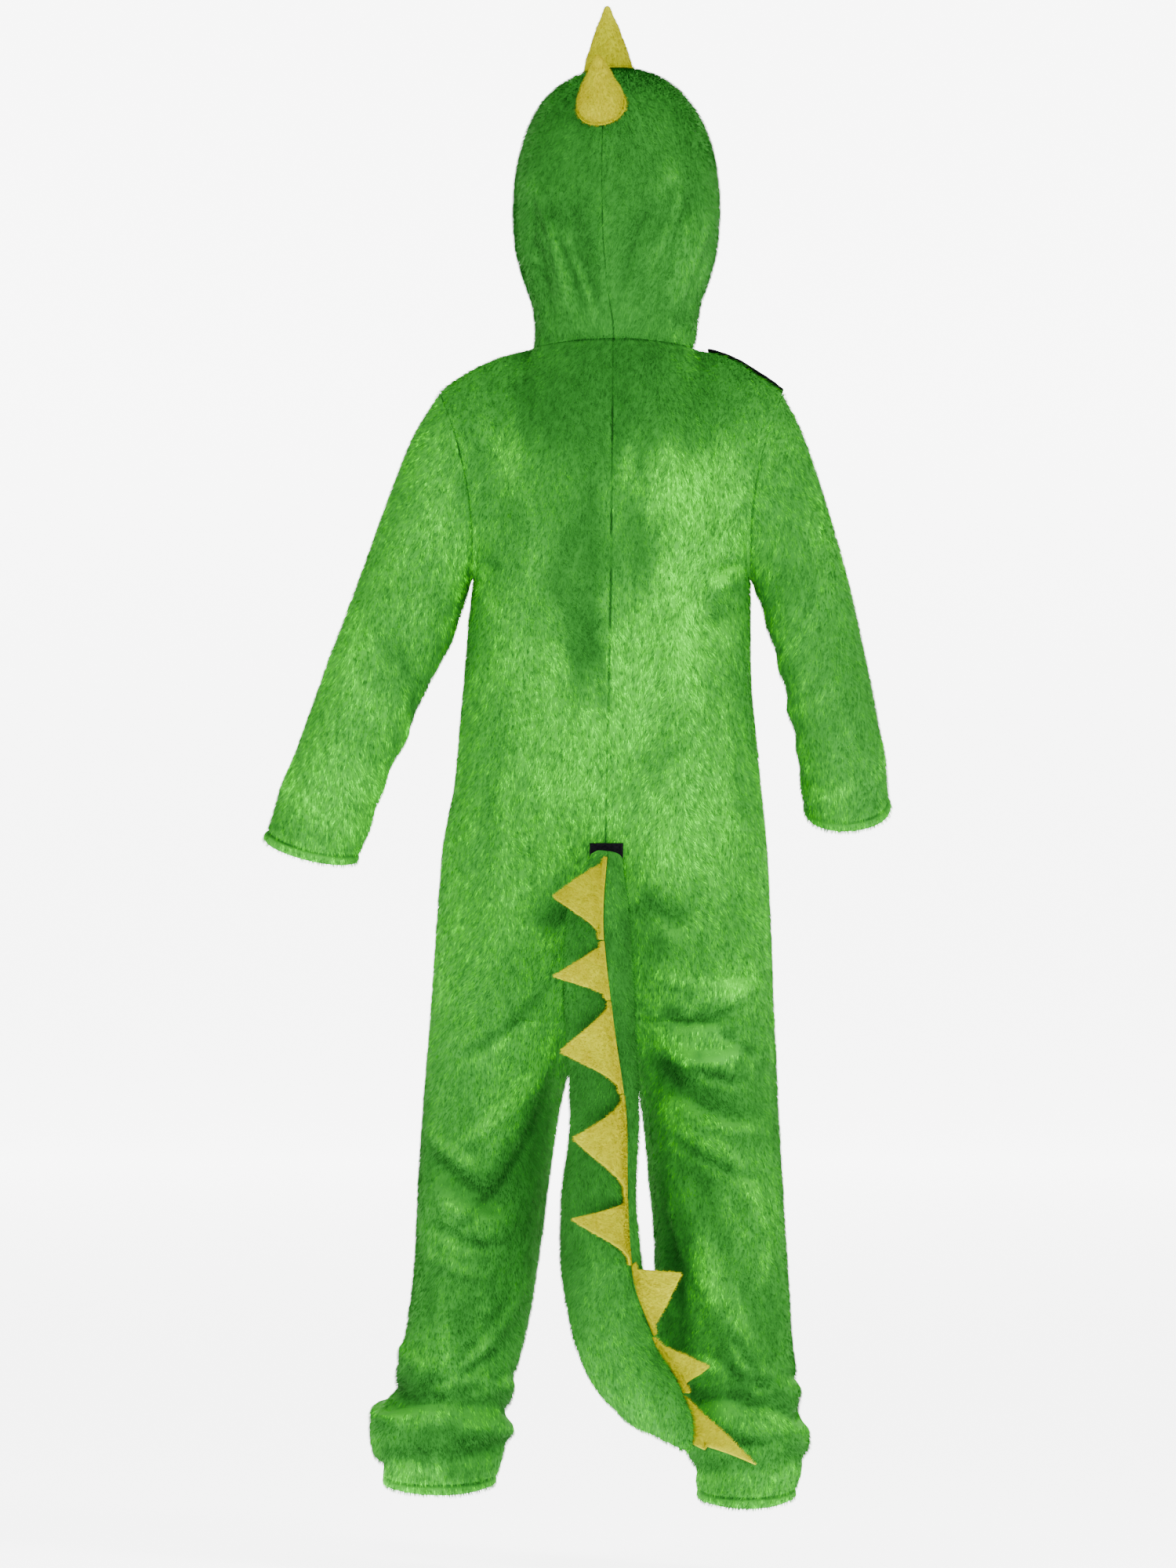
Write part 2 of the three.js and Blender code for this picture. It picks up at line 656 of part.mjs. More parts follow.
// Moves a point along its own direction from the head's middle until it lies on the hood.
function ontoHood(place) {
  const rise = place.z - HOOD.widestZ;
  if (rise <= 0) {
    const profile = rowAt(HOOD_PROFILE, place.z);
    const depth = place.y > 0 ? profile.back : profile.front;
    const reach = Math.hypot((place.x - HOOD.x) / profile.halfWidth, place.y / depth);
    return point(HOOD.x + (place.x - HOOD.x) / reach, place.y / reach, place.z);
  }
  const widest = rowAt(HOOD_PROFILE, HOOD.widestZ);
  const depth = place.y > 0 ? widest.back : widest.front;
  const flat = Math.hypot((place.x - HOOD.x) / widest.halfWidth, place.y / depth);
  const size = (flat ** HOOD.roundness + (rise / HOOD.crown) ** HOOD.roundness) ** (1 / HOOD.roundness);
  return point(HOOD.x + (place.x - HOOD.x) / size, place.y / size, HOOD.widestZ + rise / size);
}

function hoodPoint(side, along, across) {
  const path = rowAt(HOOD_PATH, along);
  const sweep = radians(path.sweep);
  const angle = sweep * across;
  const forward = (1 - Math.cos(angle)) / (1 - Math.cos(sweep));
  const lean = HOOD.seamLean * Math.sin(Math.PI * along) * (1 - across) ** 2;
  const width = rowAt(HOOD_PROFILE, HOOD.widestZ).halfWidth;
  const loose = point(
    HOOD.x + lean + side.sign * width * Math.sin(angle),
    mix(path.seamY, path.faceY, forward),
    mix(path.seamZ, path.faceZ, forward),
  );
  return ontoHood(loose);
}

function hoodGrid(side) {
  const points = sharesOf(HOOD_ROWS).map((along, i) => sharesOf(HOOD_COLUMNS).map((across, j) => {
    if (i === 0) {
      return neckPoint(side.sign, (j * Math.PI) / 2 / NECK_COLUMNS).addScaledVector(Z, SEAM_GAP);
    }
    return hoodPoint(side, along, across);
  }));
  const inward = inwardDirections(points, point(HOOD.x, 0, HOOD.widestZ), false);
  inward[0] = points[0].map((place) => neckInward(place));
  for (let i = 1; i <= HOOD_ROWS; i += 1) {
    inward[i][0].x = 0;
    inward[i][0].normalize();
  }
  points.forEach((row, i) => row.forEach((place, j) => {
    const facing = clamp(place.y / HOOD_FOLD_DEPTH, -1, 1);
    const rise = i === 0 ? 0 : foldHeight(place, facing);
    place.addScaledVector(inward[i][j], -rise);
    if (j === 0) {
      place.x += (side.sign * SEAM_GAP) / 2;
    }
  }));
  return { points, inward };
}

// The tail's axis and the table of its sections by distance along it
const AXIS_STEPS = 20; // steps of measuring between two sections
const TAIL_AXIS = new THREE.CatmullRomCurve3(TAIL.map(({ x, y, z }) => point(x, y, z)));
const TAIL_LENGTHS = TAIL_AXIS.getLengths((TAIL.length - 1) * AXIS_STEPS);
const TAIL_LENGTH = TAIL_LENGTHS[TAIL_LENGTHS.length - 1];
const TAIL_SECTIONS = table(
  "distance radius ridge",
  TAIL.map(({ radius, ridge }, i) => [TAIL_LENGTHS[i * AXIS_STEPS], radius, ridge]),
);

// The tail's section at a distance from its top.
function tailSection(distance) {
  const share = clamp(distance / TAIL_LENGTH, 0, 1);
  const centre = TAIL_AXIS.getPointAt(share);
  const along = TAIL_AXIS.getTangentAt(share);
  const back = Y.clone().addScaledVector(along, -along.y).normalize();
  const right = back.clone().cross(along).normalize();
  const towards = (angle) => (
    back.clone().multiplyScalar(Math.cos(angle)).addScaledVector(right, Math.sin(angle))
  );
  return { centre, along, towards, ...rowAt(TAIL_SECTIONS, distance) };
}

// Half of the stuffed tail: side 1 is the wearer's left half and -1 the right half.
function tailHalf(side) {
  const vertices = [];
  const rings = sharesOf(TAIL_ROWS).map((share) => share * TAIL_LENGTH);
  for (const distance of rings) {
    const section = tailSection(distance);
    const ridge = radians(section.ridge);
    const apart = section.towards(ridge - (side * Math.PI) / 2).multiplyScalar(SEAM_GAP / 2);
    for (let j = 0; j <= TAIL_SIDES; j += 1) {
      const angle = ridge - (side * Math.PI * j) / TAIL_SIDES;
      vertices.push(section.centre.clone()
        .addScaledVector(section.towards(angle), section.radius)
        .add(apart));
    }
  }
  const size = TAIL_SIDES + 1;
  const triangles = [];
  for (let i = 0; i < TAIL_ROWS; i += 1) {
    for (let j = 0; j < size; j += 1) {
      const a = i * size + j;
      const b = i * size + ((j + 1) % size);
      triangles.push([a, b, b + size], [a, b + size, a + size]);
    }
  }
  for (let j = 1; j < TAIL_SIDES; j += 1) {
    triangles.push([0, j + 1, j]);
    const first = TAIL_ROWS * size;
    triangles.push([first, first + j, first + j + 1]);
  }
  return solid(vertices, triangles);
}

const SPIKE_STEPS = 5;
const SPIKE_COLUMNS = 4;
const SPIKE_TIP = 0.06; // the tip's width, by share of the base

// One flat tail spike: a triangle of felt that bends over from the ridge seam to its tip.
function tailSpike(spike) {
  const middle = (spike.from + spike.to) / 2;
  const width = spike.to - spike.from;
  const rise = tailSection(middle);
  const points = [];
  let outward = 0;
  let sideways = 0;
  for (let i = 0; i <= SPIKE_STEPS; i += 1) {
    const share = i / SPIKE_STEPS;
    if (i > 0) {
      const angle = radians(mix(spike.root, spike.tip, share - 0.5 / SPIKE_STEPS));
      outward += (Math.cos(angle) * spike.length) / SPIKE_STEPS;
      sideways += (Math.sin(angle) * spike.length) / SPIKE_STEPS;
    }
    const narrow = mix(1, SPIKE_TIP, share);
    points.push(sharesOf(SPIKE_COLUMNS).map((across) => {
      const offset = (across - 0.5) * width;
      const footOffset = offset * (1 - share);
      const foot = tailSection(middle + footOffset);
      const clear = foot.radius + LYING_GAP + spike.lying * FELT;
      return foot.centre.clone()
        .addScaledVector(foot.towards(radians(foot.ridge)), clear)
        .addScaledVector(rise.along, offset * narrow - footOffset)
        .addScaledVector(rise.towards(0), outward)
        .addScaledVector(rise.towards(Math.PI / 2), sideways)
        .addScaledVector(rise.along, spike.slide * share);
    }));
  }
  return { points, inward: inwardDirections(points, rise.centre, false) };
}

// A stuffed cone on the hood, with a narrow flange that follows the hood.
function hoodSpike({ base, tip, radius, flange }) {
  const axis = tip.clone().sub(base);
  const length = axis.length();
  axis.normalize();
  const aside = X.clone().addScaledVector(axis, -axis.x).normalize();
  const other = axis.clone().cross(aside);
  const ring = (along, size) => Array.from({ length: HOOD_SPIKE_SIDES }, (_, i) => {
    const angle = (2 * Math.PI * i) / HOOD_SPIKE_SIDES;
    return base.clone()
      .addScaledVector(axis, along)
      .addScaledVector(aside, size * Math.cos(angle))
      .addScaledVector(other, size * Math.sin(angle));
  });
  const seated = (places, gap) => places.map((place) => {
    const on = ontoHood(place);
    const out = on.clone().sub(point(HOOD.x, 0, HOOD.widestZ)).normalize();
    return on.addScaledVector(out, gap);
  });
  const top = LYING_GAP + FLANGE_THICKNESS;
  const rings = HOOD_SPIKE_SEATS.map((share) => seated(ring(0, radius * share), LYING_GAP));
  rings.push(seated(ring(0, radius), top));
  rings.push(seated(ring(0, radius - flange), top + FLANGE_SLOPE));
  for (const row of HOOD_SPIKE_RINGS) {
    rings.push(ring(row.along * length, row.radius * radius));
  }
  const vertices = rings.flat();
  const seat = seated([base], LYING_GAP)[0];
  const last = vertices.length;
  vertices.push(seat, tip);
  const triangles = [];
  for (let i = 0; i < rings.length - 1; i += 1) {
    for (let j = 0; j < HOOD_SPIKE_SIDES; j += 1) {
      const a = i * HOOD_SPIKE_SIDES + j;
      const b = i * HOOD_SPIKE_SIDES + ((j + 1) % HOOD_SPIKE_SIDES);
      triangles.push([a, b, b + HOOD_SPIKE_SIDES], [a, b + HOOD_SPIKE_SIDES, a + HOOD_SPIKE_SIDES]);
    }
  }
  const lastRing = (rings.length - 1) * HOOD_SPIKE_SIDES;
  for (let j = 0; j < HOOD_SPIKE_SIDES; j += 1) {
    const next = (j + 1) % HOOD_SPIKE_SIDES;
    triangles.push([last, next, j], [lastRing + j, lastRing + next, last + 1]);
  }
  return solid(vertices, triangles);
}

// A strip that lies on a panel: the panel's own points, moved out.
function lyingStrip(points, inward, thickness, gap = LYING_GAP) {
  const moved = points.map((row, i) => row.map((place, j) => (
    place.clone().addScaledVector(inward[i][j], -(gap + thickness))
  )));
  return wall({ points: moved, inward }, thickness);
}

const grids = {};
for (const [name, side] of [["left", LEFT], ["right", RIGHT]]) {
  grids[`back_${name}`] = bodyGrid(side, 1);
  grids[`front_${name}`] = bodyGrid(side, -1);
}

// The closing strip lies over the centre-front seam and reaches one column to each side.
function placket() {
  const rows = [];
  const directions = [];
  const left = grids.front_left;
  const right = grids.front_right;
  for (let i = PLACKET.firstRow; i <= PLACKET.lastRow; i += 1) {
    const seam = right.points[i][0].clone().lerp(left.points[i][0], 0.5);
    rows.push([right.points[i][1], seam, left.points[i][1]]);
    directions.push([right.inward[i][1], left.inward[i][0], left.inward[i][1]]);
  }
  return lyingStrip(rows, directions, PLUSH, PLACKET_GAP);
}

// A patch of tape across the centre-back seam of the seat, raised off the cloth by a gap.
function seatPatch(patch, gap) {
  const rows = [];
  const directions = [];
  for (const share of sharesOf(patch.steps)) {
    const z = mix(patch.top, patch.bottom, share);
    const { back } = rowAt(TRUNK, z);
    rows.push([-1, 0, 1].map((turn) => point(patch.x + turn * patch.halfWidth, back, z)));
    directions.push([-1, 0, 1].map(() => Y.clone().negate()));
  }
  return lyingStrip(rows, directions, TAPE, gap);
}

function shoulderTape() {
  const { points, inward } = grids.front_right;
  const rows = [];
  const directions = [];
  for (let i = 0; i <= SHOULDER_TAPE.lastRow; i += 1) {
    rows.push(points[i].slice(SHOULDER_TAPE.firstColumn));
    directions.push(inward[i].slice(SHOULDER_TAPE.firstColumn));
  }
  return lyingStrip(rows, directions, TAPE);
}

const costume = new THREE.Group();
costume.name = "crocodile_costume";

function add(name, geometry, material) {
  const mesh = new THREE.Mesh(geometry, material);
  mesh.name = name;
  costume.add(mesh);
}

for (const [name, side] of [["left", LEFT], ["right", RIGHT]]) {
  add(`hood_${name}`, wall(hoodGrid(side), PLUSH), COLOURS.green);
  add(`back_${name}`, wall(grids[`back_${name}`], PLUSH), COLOURS.green);
  add(`front_${name}`, wall(grids[`front_${name}`], PLUSH), COLOURS.green);
  add(`sleeve_${name}`, wall(sleeveGrid(side), PLUSH, true), COLOURS.green);
  add(`tail_${name}`, tailHalf(side.sign), COLOURS.green);
}
add("front_placket", placket(), COLOURS.green);
add("tail_tape_body", seatPatch(SEAT_TAPE, LYING_GAP), COLOURS.black);
add("tail_tape_hook", seatPatch(HOOK_TAPE, 2 * LYING_GAP + TAPE), COLOURS.black);
add("shoulder_tape", shoulderTape(), COLOURS.black);
for (const [name, spike] of Object.entries(HOOD_SPIKES)) {
  add(name, hoodSpike(spike), COLOURS.yellow);
}
for (const [number] of TAIL_SPIKES.rows) {
  const spike = tailSpike(rowAt(TAIL_SPIKES, number));
  add(`tail_spike_${number}`, wall(spike, FELT), COLOURS.yellow);
}

export default costume;
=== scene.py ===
import math

import bpy
import numpy as np
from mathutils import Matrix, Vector


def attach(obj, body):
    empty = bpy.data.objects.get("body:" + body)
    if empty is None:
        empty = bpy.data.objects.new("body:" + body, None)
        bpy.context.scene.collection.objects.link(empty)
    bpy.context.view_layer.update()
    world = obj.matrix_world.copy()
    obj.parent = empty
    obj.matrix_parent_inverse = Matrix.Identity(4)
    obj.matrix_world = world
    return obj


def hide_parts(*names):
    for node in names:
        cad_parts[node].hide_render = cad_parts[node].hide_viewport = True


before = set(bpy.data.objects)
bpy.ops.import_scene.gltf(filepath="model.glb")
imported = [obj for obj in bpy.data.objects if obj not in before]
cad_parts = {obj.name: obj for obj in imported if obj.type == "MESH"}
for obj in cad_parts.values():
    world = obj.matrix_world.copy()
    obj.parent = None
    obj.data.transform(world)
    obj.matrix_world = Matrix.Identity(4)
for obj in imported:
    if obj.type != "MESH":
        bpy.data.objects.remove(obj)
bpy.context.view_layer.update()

# Child's crocodile costume in short green plush, worn form, seen from behind.
# Sizes in the tables are millimetres in the costume's own frame: +Z up, front to -Y, +X the wearer's left.

MM = 0.001

# Cloth
PLUSH = 3.0  # backing and pile together
PILE = 1.7  # how far the pile stands above its backing
SHELL = PLUSH - PILE
SEAM_ROUND = 5.0  # width of the rounding where the cloth turns into a seam
SEAM_DROP = 1.2
HEM = 9.0  # turned hem, up to its stitch line
GRID_STEP = 5.0

# Pile and nap. A strand's spacing is the area of cloth for each strand, and its lift is in degrees.
STRAND = {"length": 4.2, "width": 0.68, "spacing": 2.02, "lift": 26}
SHORT_STRAND = {"length": 2.4, "width": 0.45, "spacing": 0.9, "lift": 34}
NAP_BASE = 0.46  # how light unbrushed cloth is, from 0 to 1
NAP_LIMITS = (0.12, 0.675)  # darkest and lightest brushed cloth, with its painted sheen and shade, before the single strands vary
NAP_RANGE = 0.75  # keeps the lightest and darkest strands within the colours of the nap
PATCH_EDGE = 2.2  # higher for patches with a sharper edge
FOLD_STEP = 4.0  # how far above and below a place the slope of its folds is read

# Heights
UNDERARM_Z = -203
FORK_TOP_Z = -488
CROTCH_Z = -600

# Neck, hood, armholes and shoulders
NECK = {"x": -4, "half_width": 74, "back": 58, "front": 64, "z": 8, "rise": 7, "drop": 20}
NECK_SHARE = 0.5
HOOD = {"x": -7, "widest_z": 128, "crown": 133, "roundness": 2.35, "lean": 13}
HOOD_NECK_SWEEP = math.radians(144)
ARMHOLE_BOW = 11
SHOULDER_RISE = 30
HEM_SAG = 7  # how much lower the hems hang behind than at their seams


def unit(vectors):
    return vectors / np.maximum(np.linalg.norm(vectors, axis=-1, keepdims=True), 1e-9)


def dot(a, b):
    return np.sum(a * b, axis=-1)


def smooth(share):
    share = np.clip(share, 0, 1)
    return share * share * (3 - 2 * share)


def signed_power(value, power):
    return np.sign(value) * np.abs(value) ** power


def xyz(x, y, z):
    return np.stack(np.broadcast_arrays(x, y, z), axis=-1).astype(float)


class Table:
    """Named columns, read along smooth curves that never overshoot the rows. The first one is the key."""

    def __init__(self, names, rows):
        self.names = names.split()
        self.rows = np.array(rows, float)
        steps = np.diff(self.rows, axis=0) / np.diff(self.rows[:, 0])[:, None]
        product = steps[:-1] * steps[1:]
        total = np.where(product > 0, steps[:-1] + steps[1:], 1)
        middle = np.where(product > 0, 2 * product / total, 0)
        self.slopes = np.vstack([steps[:1], middle, steps[-1:]])

    def at(self, key):
        keys = self.rows[:, 0]
        order = 1 if keys[-1] > keys[0] else -1
        held = np.clip(np.asarray(key, float), keys.min(), keys.max())
        i = np.clip(np.searchsorted(order * keys, order * held, side="right") - 1, 0, len(keys) - 2)
        span = keys[i + 1] - keys[i]
        t = (held - keys[i]) / span
        values = {}
        for column, name in enumerate(self.names):
            before, after = self.rows[i, column], self.rows[i + 1, column]
            leave, arrive = self.slopes[i, column] * span, self.slopes[i + 1, column] * span
            bend = t * (1 - t) * ((1 - t) * leave - t * arrive)
            values[name] = before + (after - before) * smooth(t) + bend
        return values


TRUNK = Table("z centre back front fullness", [
    [-203, -2, 99, 97, 0.84],
    [-300, 0, 100, 100, 0.86],
    [-400, 2, 106, 106, 0.88],
    [-490, 3, 112, 108, 0.92],
    [-560, 1, 108, 101, 0.97],
    [-600, 0, 98, 92, 1],
    [-660, 0, 82, 80, 1],
    [-740, 0, 74, 74, 1],
    [-850, 0, 67, 67, 1],
    [-960, 0, 64, 66, 1],
    [-1030, 0, 52, 54, 1],
])


class Side:
    """One side of the body: its seams and its sleeve."""

    def __init__(self, name, sign, hem_z, shoulder, underarm, side_seam, inseam, outer, inner, sleeve):
        self.name, self.sign, self.hem_z = name, sign, hem_z
        self.shoulder, self.underarm = np.array(shoulder, float), np.array(underarm, float)
        self.side_seam = Table("z x middle", side_seam)
        self.inseam = Table("z x", inseam)
        self.sleeve_outer, self.sleeve_inner = edge_curve(outer), edge_curve(inner)
        self.sleeve = Table("along middle depth tilt", sleeve)


def centripetal(places, samples=40):
    """A smooth curve through places, as close points along it and their shares of its length."""
    p = np.asarray(places, float)
    p = np.vstack([2 * p[0] - p[1], p, 2 * p[-1] - p[-2]])
    knots = np.concatenate([[0], np.cumsum(np.linalg.norm(np.diff(p, axis=0), axis=1) ** 0.5)])
    line = [p[1]]
    for k in range(1, len(p) - 2):
        t0, t1, t2, t3 = knots[k - 1:k + 3]
        t = np.linspace(t1, t2, samples + 1)[1:, None]
        a1 = ((t1 - t) * p[k - 1] + (t - t0) * p[k]) / (t1 - t0)
        a2 = ((t2 - t) * p[k] + (t - t1) * p[k + 1]) / (t2 - t1)
        a3 = ((t3 - t) * p[k + 1] + (t - t2) * p[k + 2]) / (t3 - t2)
        b1 = ((t2 - t) * a1 + (t - t0) * a2) / (t2 - t0)
        b2 = ((t3 - t) * a2 + (t - t1) * a3) / (t3 - t1)
        line.append(((t2 - t) * b1 + (t - t1) * b2) / (t2 - t1))
    line = np.vstack(line)
    length = np.concatenate([[0], np.cumsum(np.linalg.norm(np.diff(line, axis=0), axis=1))])
    return line, length / length[-1]


def edge_curve(places):
    return centripetal([[x, 0.0, z] for x, z in places])


def along_curve(curve, share):
    line, shares = curve
    return np.stack([np.interp(share, shares, line[:, axis]) for axis in range(3)], axis=-1)


LEFT = Side(
    "left", 1, -1024, (153, 0, -30), (123, 0, UNDERARM_Z),
    side_seam=[
        [-203, 123, 0],
        [-245, 128, 0],
        [-387, 140, 0],
        [-440, 150, 0],
        [-529, 158, 0],
        [-600, 162, 0],
        [-742, 173, -14],
        [-813, 176, -24],
        [-884, 185, -31],
        [-930, 197, -35],
        [-978, 217, -38],
        [-1006, 211, -40],
        [-1024, 203, -40],
    ],
    inseam=[
        [-600, 0],
        [-609, 17],
        [-626, 29],
        [-671, 41],
        [-742, 52],
        [-813, 61],
        [-884, 73],
        [-940, 86],
        [-985, 91],
        [-1024, 104],
    ],
    outer=[[153, -30], [181, -78], [229, -209], [270, -316], [313, -437]],
    inner=[[123, -203], [137, -248], [169, -316], [200, -384], [228, -458]],
    sleeve=[[0, 0, 50, 0], [0.3, 2, 50, 0], [0.6, 0, 46, 4], [1, -10, 41, 13]],
)
RIGHT = Side(
    "right", -1, -1031, (-158, 0, -31), (-129, 0, UNDERARM_Z),
    side_seam=[
        [-203, -129, 0],
        [-300, -131, 0],
        [-387, -138, 0],
        [-458, -145, 0],
        [-600, -151, 0],
        [-742, -158, 17],
        [-813, -162, 27],
        [-884, -167, 36],
        [-955, -176, 44],
        [-995, -181, 47],
        [-1015, -173, 49],
        [-1031, -168, 50],
    ],
    inseam=[
        [-600, 0],
        [-609, -12],
        [-628, -21],
        [-689, -30],
        [-742, -35],
        [-813, -41],
        [-884, -40],
        [-940, -54],
        [-990, -70],
        [-1031, -82],
    ],
    outer=[[-158, -31], [-179, -72], [-219, -209], [-243, -316], [-258, -410]],
    inner=[[-129, -203], [-142, -245], [-160, -316], [-171, -365], [-177, -413]],
    sleeve=[[0, 0, 50, 0], [0.3, 2, 49, 0], [0.6, -8, 45, 12], [1, -50, 40, 29]],
)

HOOD_PROFILE = Table("z half_width back front", [
    [8, 73, 58, 62],
    [40, 76, 76, 76],
    [75, 87, 94, 84],
    [105, 93, 104, 89],
    [128, 94.4, 106, 90],
])
HOOD_PATH = Table("row seam_y seam_z face_y face_z sweep", [
    [0, 58, 15, -52, -4, 144],
    [0.15, 78, 46, -62, 42, 128],
    [0.3, 96, 90, -66, 84, 116],
    [0.45, 104, 140, -66, 122, 110],
    [0.6, 92, 192, -68, 154, 106],
    [0.75, 56, 240, -70, 182, 102],
    [0.88, 2, 262, -74, 204, 98],
    [1, -58, 246, -78, 222, 94],
])

TAIL = Table("number x y z radius ridge", [
    [0, 1, 130.8, -450, 15, 0],
    [1, 9, 146, -508, 29, 8],
    [2, 8, 149, -600, 33, 22],
    [3, 4, 145, -689, 32.5, 38],
    [4, 9, 139, -760, 35, 48],
    [5, 5, 134, -831, 38, 46],
    [6, -12, 131, -902, 35, 80],
    [7, -34, 129, -933, 32, 90],
    [8, -59, 128, -962, 19, 90],
    [9, -72, 127, -985, 4, 90],
])
TAIL_SPIKES = Table("number from to length root tip slide lying", [
    [1, 9, 79, 46, -72, -98, 8, 1],
    [2, 83, 131, 51, -60, -102, 4, 1],
    [3, 135, 214, 56, -46, -106, 0, 1],
    [4, 218, 305, 61, -26, -104, -8, 1],
    [5, 309, 370, 65, -22, -106, -16, 1],
    [6, 374, 445, 40, 70, 92, -19, 0.25],
    [7, 449, 516, 24, 84, 100, 30, 0],
    [8, 520, 555, 24, 86, 92, 66, 0],
])

# Soft folds, as lines seen from behind (face 1) or from in front (face -1). A negative rise is a trough.
FOLDS = [
    # face, x1, z1, x2, z2, bow, width, rise
    [1, 84, -60, 92, -330, 6, 20, 3],
    [1, -70, -80, -84, -360, -6, 22, 3],
    [1, 44, -120, 50, -420, 4, 18, -3],
    [1, -48, -200, -46, -430, 4, 18, -3],
    [1, -20, -488, -78, -512, -6, 13, -7],
    [1, 30, -494, 66, -520, 5, 12, -5],
    [1, -30, -596, -140, -648, -20, 14, 6],
    [1, -34, -626, -140, -690, -18, 13, -6],
    [1, -36, -660, -120, -740, -12, 14, 5],
    [1, 48, -590, 140, -760, 14, 18, 5],
    [1, 44, -640, 120, -790, 12, 15, -5],
    [1, 166, -724, 88, -770, -8, 12, -5],
    [1, 162, -752, 84, -792, -8, 13, 5],
    [1, -44, -690, -150, -940, -12, 15, 5],
    [1, -64, -700, -160, -900, -12, 13, -4],
    [1, -118, -196, -92, -250, 8, 12, -6],
    [-1, 90, -90, 84, -400, 5, 22, 4],
    [-1, -86, -90, -82, -400, -5, 22, 4],
    [-1, 40, -470, 130, -520, 8, 16, -5],
    [-1, -34, -476, -120, -530, -8, 16, -5],
    [-1, 60, -600, 140, -680, 10, 15, 5],
    [-1, -52, -600, -130, -690, -10, 15, 5],
    [-1, 160, -770, 84, -800, -8, 13, -5],
    [-1, -60, -780, -150, -820, 8, 13, -5],
    [1, 64, 30, 84, 150, -10, 16, -5],
    [1, 16, 30, 48, 140, -8, 14, -4],
    [1, -22, 34, -52, 140, 8, 14, -4],
    [1, -58, 30, -84, 130, 8, 14, 4],
]

